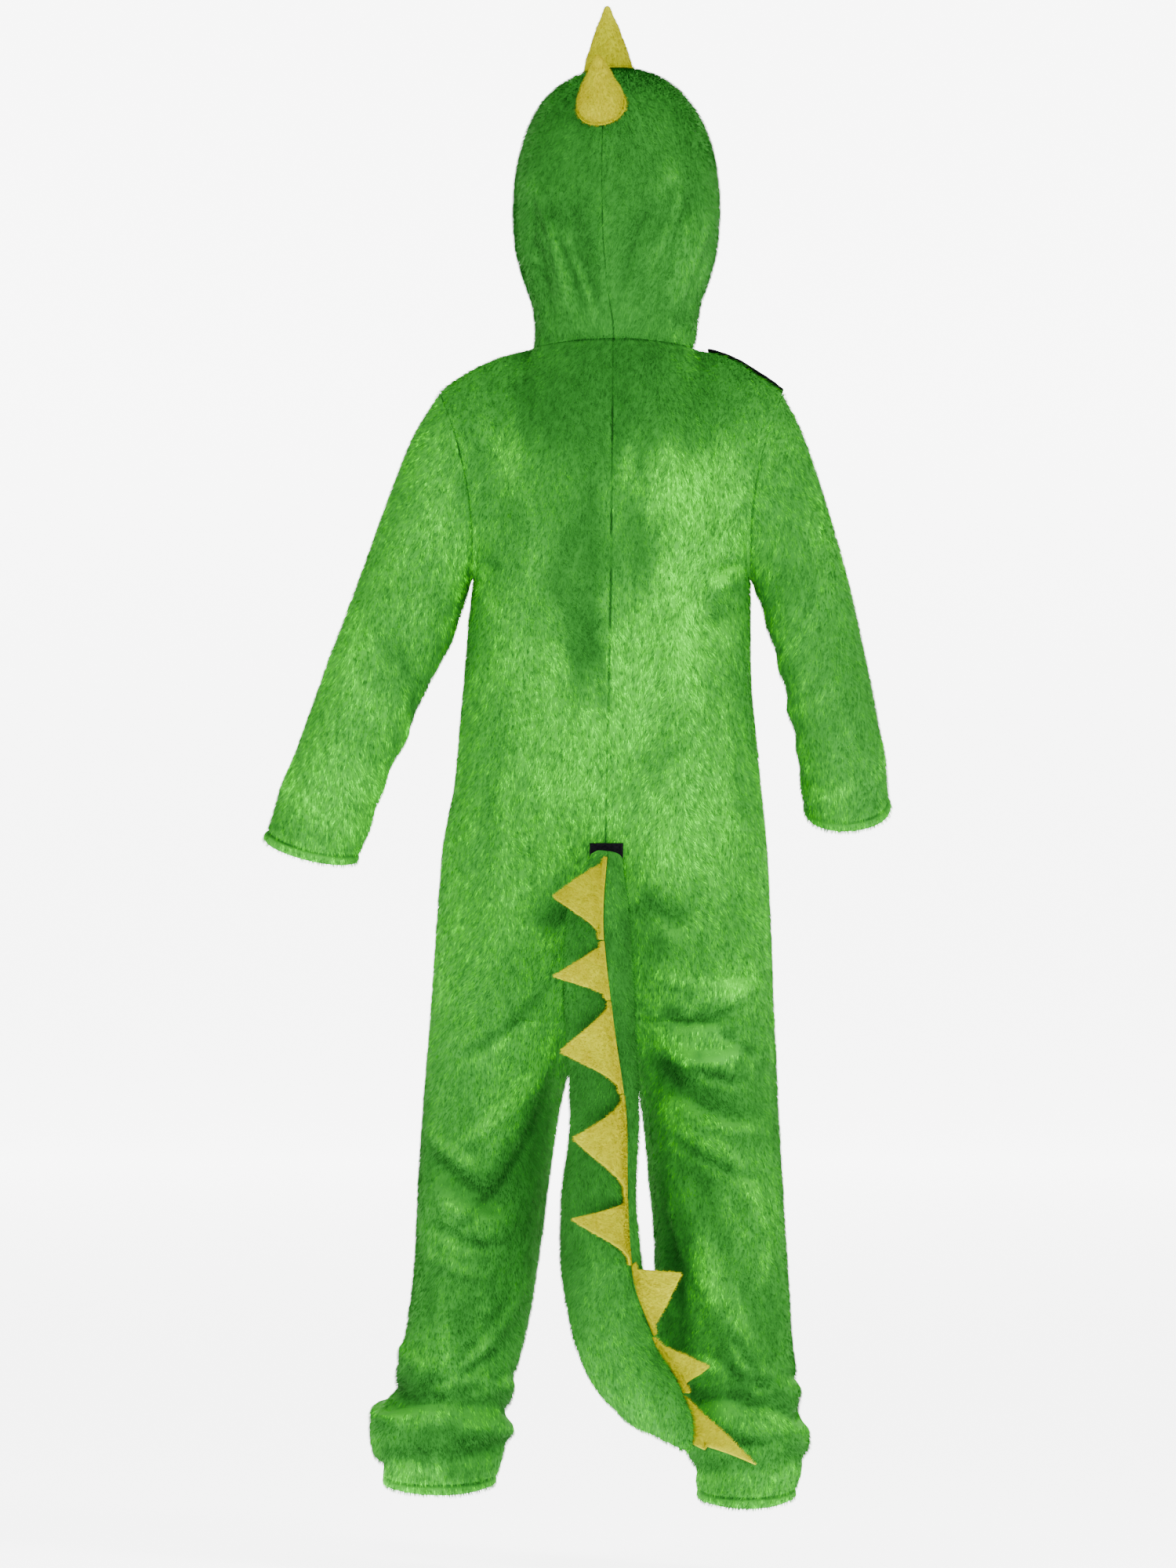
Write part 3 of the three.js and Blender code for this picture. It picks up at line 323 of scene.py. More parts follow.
# Finer creases that only the cloth's own surface shows
CREASES = [
    # face, x1, z1, x2, z2, bow, width, rise
    [1, 72, 156, 37, 28, 4, 4.8, 3.6],
    [1, 62, 140, 24, 22, 4, 4.8, -3.4],
    [1, 55, 124, 11, 21, 4, 4, 3.2],
    [1, 40, 100, 4, 20, 3, 4, -2.6],
    [1, 84, 120, 52, 22, 4, 4.8, -3.2],
    [1, -67, 181, -17, 36, -5, 7.2, 3.4],
    [1, -50, 150, -8, 26, -4, 5.6, -2.8],
    [1, -92, 120, -62, 28, -3, 5.6, 3.4],
    [1, -80, 150, -46, 26, -4, 5.6, -3],
    [1, -86, 84, -70, 40, -2, 4, -3],
    [1, 10, 150, 4, 24, 2, 4.8, 1.6],
    [1, 12, -470, 40, -520, -3, 4.8, -3],
    [1, -12, -484, -60, -536, 5, 5.6, 3],
    [1, -28, -556, -150, -566, -8, 6.4, 3.4],
    [1, -37, -595, -118, -592, -8, 6.4, -6],
    [1, -52, -630, -128, -622, -9, 6.4, 6],
    [1, -96, -604, -140, -632, -4, 4.8, -4],
    [1, -78, -641, -128, -652, -6, 4.8, -5],
    [1, -76, -576, -132, -573, -5, 5.6, 5],
    [1, -36, -650, -146, -700, -16, 6.4, 4],
    [1, -44, -690, -150, -745, -12, 5.6, -4],
    [1, 44, -560, 150, -640, 12, 7.2, -4],
    [1, 46, -610, 150, -720, 16, 6.4, 4],
    [1, 56, -680, 150, -800, 12, 5.6, -4],
    [1, 170, -690, 112, -738, -6, 5.6, 4],
    [1, 170, -716, 96, -760, -8, 4.8, -4.5],
    [1, 168, -742, 84, -780, -9, 5.6, 4.5],
    [1, 172, -776, 96, -806, -8, 4.8, -4.5],
    [1, 174, -804, 104, -832, -6, 4.8, 3.5],
    [1, 70, -830, 150, -930, 8, 7.2, 4],
    [1, 84, -846, 168, -934, 8, 5.6, -3.5],
    [1, -44, -740, -128, -900, -8, 6.4, 4.5],
    [1, -56, -760, -146, -940, -8, 5.6, -4.5],
    [1, -72, -800, -158, -976, -6, 5.6, 4],
    [1, -52, -720, -66, -880, -4, 6.4, -4],
    [1, -92, -700, -140, -800, 6, 6.4, 4],
    [1, -78, -890, -150, -930, -6, 5.6, -4],
    [1, 88, -896, 186, -934, 6, 5.6, -4],
    [1, -100, -196, -128, -190, 4, 4.8, -5],
    [1, -92, -214, -128, -206, 4, 4.8, 3.5],
    [1, 118, -200, 92, -250, -4, 5.6, 3],
    [1, 96, -196, 122, -190, -3, 4.8, -3.5],
    [1, 100, -40, 118, -120, 4, 7.2, -3],
    [1, -108, -30, -126, -110, -4, 7.2, -3],
    [1, 34, -70, 40, -250, 3, 9.6, 2.6],
    [1, 16, -100, 20, -330, 3, 8.8, -3],
    [1, -32, -90, -26, -300, -3, 9.6, -2.6],
    [1, -62, -120, -66, -330, -4, 11.2, 3],
    [1, -92, -130, -96, -350, -4, 10.4, -3],
    [1, 70, -200, 76, -440, 4, 11.2, -2.8],
    [1, 108, -320, 124, -520, 4, 9.6, -3.4],
    [1, 92, -360, 98, -560, 4, 8, 3],
    [1, -104, -300, -118, -500, -4, 9.6, 3.4],
    [1, -76, -380, -84, -520, -4, 8.8, -3],
    [-1, 110, -60, 118, -160, 5, 7.2, -3],
    [-1, -112, -60, -120, -160, -5, 7.2, -3],
    [-1, 60, -130, 66, -300, 3, 8, -3],
    [-1, -60, -150, -70, -330, -3, 8, 3],
    [-1, 30, -440, 120, -470, 8, 6.4, 4],
    [-1, 30, -500, 140, -560, 10, 6.4, -4],
    [-1, -30, -450, -110, -480, -8, 6.4, 4],
    [-1, -30, -510, -130, -570, -10, 6.4, -4],
    [-1, 50, -640, 150, -740, 10, 6.4, 4],
    [-1, -40, -650, -140, -750, -10, 6.4, 4],
    [-1, 168, -750, 80, -780, -8, 5.6, 4],
    [-1, 168, -790, 90, -830, -8, 5.6, 4],
    [-1, -56, -760, -150, -800, 8, 5.6, 4],
    [-1, -60, -810, -156, -850, 8, 5.6, 4],
    [-1, 90, -920, 180, -950, 6, 5.6, -4],
    [-1, -76, -910, -160, -940, 6, 5.6, -4],
]

# Rings of cloth that bunch at the ankles
ANKLE_RINGS = [
    # side, z, tilt, width, rise
    [1, -948, 0.2, 9, -5],
    [1, -970, 0.15, 10, 5],
    [1, -997, -0.1, 8, -5],
    [-1, -945, -0.2, 9, -4],
    [-1, -968, -0.1, 10, 5],
    [-1, -1002, 0.1, 8, -5],
]
ANKLE_CREASES = [
    # side, z, tilt, width, rise
    [1, -920, 0.3, 7, 2.5],
    [1, -934, -0.2, 5, -2.5],
    [1, -984, -0.25, 5, -2],
    [-1, -918, -0.3, 7, 2.5],
    [-1, -930, 0.25, 5, -2.5],
    [-1, -984, 0.2, 5, -2.4],
]

# Patches where the brushed pile gets painted sheen, lighter (strength above 0), or painted shade, darker
# (below 0), as seen from behind (face 1), from in front (face -1) or from both (face 0)
PAINTED_SHEEN_AND_SHADE = [
    # face, x, z, half_width, half_height, strength
    [0, -7, 140, 160, 150, -0.33],
    [0, -7, 60, 100, 60, -0.25],
    [1, 0, -44, 150, 44, -0.17],
    [1, -10, -380, 104, 120, 0.07],
    [0, 240, -330, 60, 130, 0.1],
    [0, -225, -330, 50, 110, -0.17],
    [0, -170, -190, 30, 110, -0.08],
    [0, 110, -790, 100, 230, -0.27],
    [0, -110, -800, 100, 240, -0.18],
    [0, -40, -640, 90, 60, -0.05],
    [0, 150, -986, 56, 24, -0.26],
    [1, 92, -79, 18, 42, 0.14],
    [1, -50, -114, 30, 36, 0.22],
    [1, -96, -150, 26, 62, 0.22],
    [1, -55, -236, 44, 66, 0.2],
    [1, -25, -300, 44, 60, 0.16],
    [1, 61, -210, 15, 30, 0.13],
    [1, 66, -300, 38, 48, 0.18],
    [1, 44, -372, 38, 50, 0.18],
    [1, -71, -428, 46, 50, 0.14],
    [1, 153, -185, 28, 50, 0.13],
    [1, 117, -110, 18, 50, -0.14],
    [1, 44, -140, 60, 110, -0.12],
    [1, 96, -340, 22, 130, -0.04],
    [1, 22, -200, 26, 90, -0.2],
    [1, -25, -172, 24, 44, -0.22],
    [1, -10, -84, 60, 46, -0.11],
    [1, 87, -170, 14, 38, -0.11],
    [1, 16, -276, 13, 45, -0.22],
    [1, 94, -307, 9, 24, -0.14],
    [1, -45, -358, 14, 16, -0.14],
    [1, 0, -45, 140, 34, -0.09],
    [1, 51, -413, 28, 18, -0.13],
    [1, -124, -330, 14, 110, -0.07],
    [1, 142, -611, 18, 120, 0.14],
    [1, 93, -648, 26, 60, 0.13],
    [1, -123, -570, 20, 32, 0.18],
    [1, -86, -580, 30, 11, 0.18],
    [1, -80, -624, 40, 12, 0.14],
    [1, -68, -680, 24, 30, 0.11],
    [1, -136, -790, 18, 70, 0.14],
    [1, -99, -814, 24, 60, 0.13],
    [1, 148, -790, 30, 20, 0.14],
    [1, 155, -900, 35, 30, 0.13],
    [1, 111, -512, 30, 60, 0.07],
    [1, -37, -518, 22, 30, -0.22],
    [1, 50, -499, 14, 30, -0.16],
    [1, -55, -596, 26, 9, -0.22],
    [1, -117, -643, 30, 9, -0.18],
    [1, -49, -650, 18, 24, -0.18],
    [1, -55, -790, 15, 80, -0.14],
    [1, -123, -913, 18, 60, -0.14],
    [1, 173, -931, 25, 18, -0.14],
    [1, 68, -740, 13, 80, -0.13],
    [1, 136, -752, 25, 12, -0.13],
    [1, 100, -860, 5, 70, -0.14],
    [1, 112, -894, 5, 46, 0.12],
    [1, 124, -840, 6, 86, -0.12],
    [1, 142, -880, 5, 56, 0.12],
    [1, 156, -850, 5, 60, -0.1],
    [1, -58, -730, 5, 60, 0.14],
    [1, -70, -830, 6, 80, -0.14],
    [1, -84, -870, 5, 60, 0.14],
    [1, -104, -880, 6, 60, -0.12],
    [1, -118, -850, 5, 60, 0.12],
    [1, -146, -850, 5, 60, -0.1],
    [1, 170, -192, 14, 22, -0.14],
    [1, 190, -290, 14, 40, -0.12],
    [1, 232, -300, 10, 50, 0.1],
    [1, -176, -200, 10, 24, -0.12],
    [1, -196, -150, 8, 40, 0.12],
    [1, 66, 128, 4, 34, 0.2],
    [1, 52, 92, 5, 30, 0.3],
    [1, 42, 50, 6, 24, 0.2],
    [1, 38, 90, 4, 34, 0.26],
    [1, 24, 50, 5, 26, 0.18],
    [1, -60, 140, 6, 34, 0.22],
    [1, -46, 90, 6, 34, 0.3],
    [1, -28, 50, 6, 22, 0.2],
    [1, -84, 74, 6, 30, 0.26],
    [1, 84, 40, 6, 22, 0.26],
    [1, -60, 26, 20, 8, 0.2],
    [-1, 70, -180, 40, 70, 0.14],
    [-1, -60, -260, 44, 80, 0.16],
    [-1, 40, -380, 40, 60, 0.11],
    [-1, -30, -140, 22, 80, -0.18],
    [-1, 100, -320, 16, 60, -0.14],
    [-1, 130, -640, 24, 90, 0.14],
    [-1, -110, -720, 26, 90, 0.14],
    [-1, 80, -760, 16, 70, -0.14],
    [-1, -60, -600, 26, 20, -0.14],
]

# Elbow creases and slack of the sleeves, by share of the sleeve's length: lean shifts the crease round
# the arm, and inner is 1 for a crease on the inside of the elbow, 0 for one all round
SLEEVE_FOLDS = Table("number side at lean width rise inner", [
    [1, 0, 0.46, 0.05, 0.05, -2, 1],
    [2, 0, 0.56, -0.04, 0.05, 1.6, 1],
    [3, 0, 0.66, 0.03, 0.05, -1.6, 1],
    [4, 0, 0.88, 0.02, 0.05, 2, 0],
    [5, 1, 0.13, 0.1, 0.03, -1.6, 1],
    [6, 1, 0.22, -0.1, 0.035, 1.4, 1],
    [7, 1, 0.36, 0.09, 0.025, -1.4, 1],
    [8, 1, 0.52, -0.1, 0.022, -1.4, 1],
    [9, 1, 0.74, 0.08, 0.03, 1.2, 1],
    [10, 1, 0.81, -0.05, 0.022, -1, 1],
    [11, -1, 0.1, 0.12, 0.03, -1.8, 1],
    [12, -1, 0.19, -0.08, 0.03, 1.4, 1],
    [13, -1, 0.31, 0.08, 0.028, -1.8, 1],
    [14, -1, 0.41, -0.06, 0.026, 1.4, 1],
    [15, -1, 0.51, 0.07, 0.024, -1.6, 1],
    [16, -1, 0.73, -0.06, 0.03, 1.2, 1],
    [17, -1, 0.82, 0.05, 0.02, -1, 1],
])

HOOD_SPIKE_RADIUS = 23
HOOD_SPIKE_FOOT = 0.22  # share of its height in which a spike rises out of its flange
# nap gives each hood spike a painted light: the top spike is painted lighter, the rear spike darker, as if
# in shade
HOOD_SPIKES = {
    "hood_spike_top": {
        "base": (0, -6, 259), "tip": (1, -6, 318), "flange": 1.5, "bend": 0, "seed": 61, "nap": 0.62,
    },
    "hood_spike_rear": {
        "base": (7, 79, 222), "tip": (10, 105, 267), "flange": 3, "bend": 3, "seed": 62, "nap": 0.28,
    },
}
SPIKE_PROFILE = Table("along radius", [
    [0, 1],
    [0.12, 0.94],
    [0.35, 0.76],
    [0.7, 0.42],
    [0.9, 0.22],
    [0.97, 0.13],
    [1, 0.03],
])

FELT = 3.4  # two layers of yellow plush, sewn flat
TAPE = 2.0
TAPE_EDGE = np.array([0, 0.4, 1, 2])
LYING_GAP = 0.4  # between a piece and the panel that it lies on
PLACKET_GAP = 0.8
PLACKET = {"top": 0.125, "bottom": -467.7, "reach": 0.1}
SEAT_TAPE = {"x": 2, "half_width": 15, "top": -440, "bottom": -484, "gap": LYING_GAP}
SHOULDER_TAPE = {"from": 0.57, "top": 0.008, "depth": 0.125}  # shares of the yoke's width and height
HOOK_TAPE = {"x": 2, "half_width": 13, "top": -453, "bottom": -480, "gap": 2 * LYING_GAP + TAPE}

X, Y, Z = np.eye(3)
DOWN = -Z


# Noise and spacing

def soft_noise(points, patch, seed):
    """Smooth noise from -1 to 1. patch is the width of its patches along x, y and z."""
    values = np.random.default_rng(seed).uniform(-1, 1, (32, 32, 32))
    q = points / np.asarray(patch, float)
    cell = np.floor(q).astype(int)
    t = smooth(q - cell)
    total = np.zeros(points.shape[:-1])
    for corner in np.ndindex(2, 2, 2):
        weight = np.prod(np.where(corner, t, 1 - t), axis=-1)
        i = (cell + corner) % 32
        total += weight * values[i[..., 0], i[..., 1], i[..., 2]]
    return total * 1.5


def nap_tone_and_painted_light(points, facing):
    """How light the brushed pile is painted, from 0 for dark to 1 for light: its random tone, with painted
    sheen and painted shade. facing is above 0 behind.
    """
    total = np.full(points.shape[:-1], NAP_BASE)
    wander = 9 * soft_noise(points, (15, 15, 30), 24) + 4 * soft_noise(points, (6, 6, 15), 25)
    rise = 10 * soft_noise(points, (9, 9, 40), 26)
    for face, x, z, half_width, half_height, strength in PAINTED_SHEEN_AND_SHADE:
        across = (points[..., 0] + wander - x) / half_width
        up = (points[..., 2] + rise - z) / half_height
        near = np.exp(-((across ** 2 + up ** 2) ** PATCH_EDGE))
        if face:
            near = near * smooth(0.5 + face * facing)
        total += strength * near
    total += 0.04 * soft_noise(points, (38, 38, 62), 21)
    total += 0.06 * np.clip(total + 0.3, 0.4, 1) * soft_noise(points, (12, 12, 24), 22)
    return np.clip(total, NAP_LIMITS[0], NAP_LIMITS[1])


def fold_painted_light(height, above, below):
    """How folds change the shade of the nap: painted highlight on ridges and on slopes that face up, painted
    shade in troughs and on slopes that face down.
    """
    slope = (below - above) / (2 * FOLD_STEP)
    return np.clip(0.025 * height + 0.55 * slope, -0.24, 0.24)


# Distances of a grid's closest rows from a seam, from a hem's edge, and from an edge that is neither
SEAM_STEPS = np.array([0, 0.8, 1.8, 3.2, 5.2])
HEM_STEPS = np.array([0, 0.8, 2, 3.4, 5, 6.6, 7.8, 8.5, 9, 9.6, 10.6, 12.4])
OPEN = np.array([0.0])


def spaced(length, start, end, step=GRID_STEP):
    """Shares from 0 to 1 of a length, close together beside its seams and hems."""
    far_end = length - end[::-1]
    gaps = max(2, math.ceil((far_end[0] - start[-1]) / step))
    between = np.linspace(start[-1], far_end[0], gaps + 1)[1:-1]
    return np.concatenate([start, between, far_end]) / length


# Body

def body_section(side, face, z, turn):
    """Points of the body's or leg's section: turn is 0 on the centre seam or inseam, 1 on the side seam."""
    z, turn = np.broadcast_arrays(np.asarray(z, float), np.asarray(turn, float))
    trunk, seam = TRUNK.at(z), side.side_seam.at(z)
    full = trunk["fullness"]
    reach = side.sign * (seam["x"] - trunk["centre"])
    above = z >= CROTCH_Z
    parting = np.where(above, np.clip((FORK_TOP_Z - z) / (FORK_TOP_Z - CROTCH_Z), 0, 1) ** 1.4, 1)
    inner = np.where(above, 0, side.sign * side.inseam.at(z)["x"])
    half = (reach - inner) / (1 + parting)
    middle = inner + parting * half
    start = np.where(above, np.arccos(-(parting ** (1 / full))), math.pi)
    angle = start * (1 - turn)
    depth = trunk["back"] if face > 0 else trunk["front"]
    return xyz(
        trunk["centre"] + side.sign * (middle + half * signed_power(np.cos(angle), full)),
        seam["middle"] + face * depth * signed_power(np.sin(angle), full),
        z,
    )


def neck_point(sign, azimuth):
    """Points of the neck seam, from 0 at the centre back to pi at the centre front."""
    turned = np.cos(azimuth)
    behind = turned > 0
    return xyz(
        NECK["x"] + sign * NECK["half_width"] * np.sin(azimuth),
        np.where(behind, NECK["back"], NECK["front"]) * turned,
        NECK["z"] + np.where(behind, NECK["rise"], NECK["drop"]) * turned * np.abs(turned),
    )


def neck_inward(points):
    return unit(xyz(NECK["x"] - points[..., 0], -points[..., 1], 0 * points[..., 2]))


def armhole_point(side, angle):
    """Points of the armhole seam, from 0 at the shoulder over the back to pi at the underarm."""
    centre = (side.shoulder + side.underarm) / 2
    half = side.shoulder - centre
    depth = side.sleeve.at(0)["depth"]
    return xyz(
        centre[0] + half[0] * np.cos(angle) - side.sign * ARMHOLE_BOW * np.sin(angle) ** 2,
        depth * np.sin(angle),
        centre[2] + half[2] * np.cos(angle),
    )


def armhole_inward(side, angle):
    step = math.radians(2)
    tangent = unit(armhole_point(side, angle + step) - armhole_point(side, angle - step))
    towards = (side.shoulder + side.underarm) / 2 - armhole_point(side, angle)
    return unit(towards - tangent * dot(towards, tangent)[..., None])


def shoulder_line(side, face, share):
    """The top edge of a body piece: the neck seam, then the shoulder seam."""
    centre_azimuth = 0 if face > 0 else math.pi
    round_neck = np.minimum(share / NECK_SHARE, 1)
    neck = neck_point(side.sign, centre_azimuth + (math.pi / 2 - centre_azimuth) * round_neck)
    out = np.clip((share - NECK_SHARE) / (1 - NECK_SHARE), 0, 1)[..., None]
    neck_end = neck_point(side.sign, math.pi / 2)
    shoulder = neck_end + (side.shoulder - neck_end) * out + SHOULDER_RISE * out * (1 - out) * Z
    return np.where((share <= NECK_SHARE)[..., None], neck, shoulder)


def yoke_point(side, face, across, down):
    """Points of the yoke, from the neck and shoulder seam down to the underarm."""
    across, down = np.broadcast_arrays(np.asarray(across, float), np.asarray(down, float))
    top = shoulder_line(side, face, across)
    # Below its top edge the yoke evens out the corner where the neck seam meets the shoulder seam
    reach = 0.36 * np.minimum(across, 1 - across)
    eased = sum(shoulder_line(side, face, across + step * reach) for step in (-1, -0.5, 0, 0.5, 1)) / 5
    top = eased + (top - eased) * ((1 - down) ** 5)[..., None]
    bottom = body_section(side, face, UNDERARM_Z, across)
    centre_top = shoulder_line(side, face, 0 * across)
    centre_bottom = body_section(side, face, UNDERARM_Z, 0 * across)
    a, d = across[..., None], down[..., None]
    centre = centre_top + (centre_bottom - centre_top) * d
    bulge = np.sin(down * math.pi / 2) ** 0.85
    centre[..., 1] = centre_top[..., 1] + (centre_bottom - centre_top)[..., 1] * bulge
    armhole = armhole_point(side, face * math.pi * down)
    corners = (
        centre_top * (1 - a) * (1 - d) + side.shoulder * a * (1 - d)
        + centre_bottom * (1 - a) * d + side.underarm * a * d
    )
    return top * (1 - d) + bottom * d + centre * (1 - a) + armhole * a - corners


def fold_height(points, facing, rows):
    """How far folds lift the cloth. rows are lines seen from behind or from in front, as in FOLDS."""
    total = np.zeros(points.shape[:-1])
    for face, x1, z1, x2, z2, bow, width, rise in rows:
        chord_x, chord_z = x2 - x1, z2 - z1
        length = math.hypot(chord_x, chord_z)
        from_x, from_z = points[..., 0] - x1, points[..., 2] - z1
        along = (from_x * chord_x + from_z * chord_z) / length ** 2
        held = np.clip(along, 0, 1)
        across = (from_x * chord_z - from_z * chord_x) / length - 4 * bow * held * (1 - held)
        beyond = (along - held) * length
        taper = smooth(4 * held * (1 - held) + 0.1)
        line = rise * taper * np.abs(facing) * np.exp(-(across ** 2 + beyond ** 2) / width ** 2)
        total += np.where(face * facing > 0, line, 0)
    return total


def ring_height(side, points, rows):
    """How far the rings of cloth at an ankle stand out."""
    total = np.zeros(points.shape[:-1])
    for sign, z, tilt, width, rise in rows:
        if sign == side.sign:
            level = z + tilt * (np.abs(points[..., 0]) - 130) + 5 * soft_noise(points, (34, 34, 34), 41)
            uneven = 1 + 0.7 * soft_noise(points, (30, 30, 16), 42)
            total += rise * uneven * np.exp(-(((points[..., 2] - level) / width) ** 2))
    return total


def folds_at(side, points, facing):
    """All the folds of the body, or of the hood where side is None."""
    total = fold_height(points, facing, FOLDS) + fold_height(points, facing, CREASES)
    if side:
        total += ring_height(side, points, ANKLE_RINGS) + ring_height(side, points, ANKLE_CREASES)
    return total


def shaded_folds(side, points, facing):
    """The height of the folds and the painted highlight and shade that they add to the nap."""
    height, above, below = (folds_at(side, points + up * Z, facing) for up in (0, FOLD_STEP, -FOLD_STEP))
    return height, fold_painted_light(height, above, below)


def slack(points, height, seed):
    """Shallow unevenness of cloth that hangs loose."""
    broad = soft_noise(points, (46, 46, 90), seed)
    narrow = soft_noise(points, (17, 17, 34), seed + 1)
    return height * (0.7 * broad + 0.3 * narrow)


def body_relief(side, points):
    trunk, seam = TRUNK.at(points[..., 2]), side.side_seam.at(points[..., 2])
    facing = np.clip((points[..., 1] - seam["middle"]) / (0.7 * trunk["back"]), -1, 1)
    # shade is the painted highlight and shade of the folds
    rise, shade = shaded_folds(side, points, facing)
    return rise + slack(points, 1.1, 5), shade


# Directions into the hollow, and distances from the edges of a piece

def across_line(line, plane, towards):
    """Directions square to a line of points within a plane, on the side that `towards` points to."""
    direction = unit(np.cross(np.gradient(line, axis=0), plane))
    wrong = dot(direction, towards) < 0
    return np.where(wrong[:, None], -direction, direction)


def grid_normals(points, inside):
    """Directions square to a grid of points, towards the side on which `inside` lies."""
    normals = unit(np.cross(np.gradient(points, axis=1), np.gradient(points, axis=0)))
    i, j = points.shape[0] // 2, points.shape[1] // 2
    return normals if dot(normals[i, j], np.asarray(inside) - points[i, j]) > 0 else -normals


def distances(points):
    """Distance of each point from the first and last column and the first and last row, along the grid."""
    wide = np.linalg.norm(np.diff(points, axis=1), axis=-1)
    tall = np.linalg.norm(np.diff(points, axis=0), axis=-1)
    left = np.pad(np.cumsum(wide, axis=1), ((0, 0), (1, 0)))
    top = np.pad(np.cumsum(tall, axis=0), ((1, 0), (0, 0)))
    return left, left[:, -1:] - left, top, top[-1:] - top


def from_edges(points):
    """Distance of each point from the nearest edge."""
    return np.minimum.reduce(distances(points))


def lean_to(inward, edge, distance, reach=9):
    """Turns directions to those of an edge within reach of it."""
    share = smooth(1 - distance / reach)[..., None]
    return unit(inward + share * (edge - inward))


def seam_drop(distance, points):
    """How far cloth turns in beside a seam, a little uneven along it."""
    t = np.clip(distance / SEAM_ROUND, 0, 1)
    uneven = 1 + 0.3 * soft_noise(points, (9, 9, 9), 31)
    pucker = 0.35 * smooth(1 - distance / 22) * soft_noise(points, (12, 12, 12), 32)
    return SEAM_DROP * uneven * (1 - np.sqrt(1 - (1 - t) ** 2)) + pucker


def hem_shape(distance, points, seed):
    """How far a turned hem stands out, with its stitch line and rolled edge, and its extra thickness."""
    bulge = 1.8 * np.exp(-(((distance - 4.4) / 3.6) ** 2))
    stitches = -1.7 * np.exp(-(((distance - HEM) / 1) ** 2))
    above = 0.3 * np.exp(-(((distance - HEM - 3) / 2) ** 2))
    edge = -1.2 * (1 - np.sqrt(1 - (1 - np.clip(distance / 2.6, 0, 1)) ** 2))
    ripple = 0.7 * smooth(1 - distance / 26) * soft_noise(points, (16, 16, 22), seed)
    turned = smooth((HEM + 1 - distance) / 2)
    return bulge + stitches + above + edge + ripple, turned * (PLUSH - SHELL - 0.3)


# Meshes

def mesh_object(name, points, faces, materials, face_materials=None, shaded_smooth=True, nap=None):
    """A mesh from points in millimetres and faces that all have the same number of corners."""
    faces = np.asarray(faces)
    count, corners = faces.shape
    mesh = bpy.data.meshes.new(name)
    mesh.vertices.add(len(points))
    mesh.vertices.foreach_set("co", (points * MM).astype(np.float32).ravel())
    mesh.loops.add(count * corners)
    mesh.loops.foreach_set("vertex_index", faces.astype(np.int32).ravel())
    mesh.polygons.add(count)
    mesh.polygons.foreach_set("loop_start", np.arange(0, count * corners, corners, dtype=np.int32))
    mesh.polygons.foreach_set("use_smooth", np.full(count, shaded_smooth))
    if face_materials is not None:
        mesh.polygons.foreach_set("material_index", np.asarray(face_materials, dtype=np.int32))
    for material in materials:
        mesh.materials.append(material)
    # The nap attribute holds the plush's random tone with its painted sheen and shade
    shade = mesh.attributes.new("nap", "FLOAT", "POINT")
    shade.data.foreach_set("value", np.full(len(points), 0.4) if nap is None else nap.astype(np.float32))
    mesh.update(calc_edges=True)
    made = bpy.data.objects.new(name, mesh)
    bpy.context.scene.collection.objects.link(made)
    return made


def grid_quads(index):
    corners = [index[:-1, :-1], index[:-1, 1:], index[1:, 1:], index[1:, :-1]]
    return np.stack(corners, axis=-1).reshape(-1, 4)


def turned_out(points, faces):
    """Faces turned so that the closed mesh's normals point outwards."""
    first, *others = (points[corner] for corner in faces.T)
    volume = sum(np.sum(dot(first, np.cross(b, c))) for b, c in zip(others, others[1:]))
    return faces if volume > 0 else faces[:, ::-1]


def wall(name, outer, inward, thickness, materials, turned=None, nap=None):
    """A closed wall of cloth. Inner faces where `turned` is true show the pile, as a turned hem does."""
    rows, columns = outer.shape[:2]
    thickness = np.broadcast_to(thickness, (rows, columns))[..., None]
    inner = outer + inward * thickness
    index = np.arange(rows * columns).reshape(rows, columns)
    border = np.concatenate([index[0, :-1], index[:-1, -1], index[-1, :0:-1], index[:0:-1, 0]])
    i, j = border // columns, border % columns
    middle = (outer[i, j] + inner[i, j]) / 2
    size = rows * columns
    rim = 2 * size + np.arange(len(border))
    after = np.roll(np.arange(len(border)), -1)
    skin = grid_quads(index)
    lining = skin[:, ::-1] + size
    first = np.stack([border, rim, rim[after], border[after]], axis=-1)
    second = np.stack([rim, border + size, border[after] + size, rim[after]], axis=-1)
    points = np.concatenate([outer.reshape(-1, 3), inner.reshape(-1, 3), middle])
    faces = np.concatenate([skin, lining, first, second])
    inside = np.ones(len(skin), int)
    if turned is not None:
        inside = np.where((turned[:-1, :-1] & turned[1:, 1:]).ravel(), 0, 1)
    kinds = np.concatenate([0 * inside, inside, np.zeros(2 * len(border), int)])
    if nap is not None:
        nap = np.concatenate([nap.ravel(), nap.ravel(), nap[i, j]])
    return mesh_object(name, points, turned_out(points, faces), materials, kinds, nap=nap)


CUT = {}  # each piece's flat size, printed at the end


def flat_sizes(name, points):
    """Width, length and area of a grid laid flat, in metres, kept for the cutting list."""
    left, _, top, _ = distances(points)
    a, b, c, d = points[:-1, :-1], points[:-1, 1:], points[1:, 1:], points[1:, :-1]
    area = np.linalg.norm(np.cross(c - a, d - b), axis=-1).sum() / 2
    width, length = left[:, -1].max() * MM, top[-1].max() * MM
    area = area * MM * MM
    CUT[name] = (round(width * 1000), round(length * 1000), round(area * 1e6))
    return width, length, area


# Pile

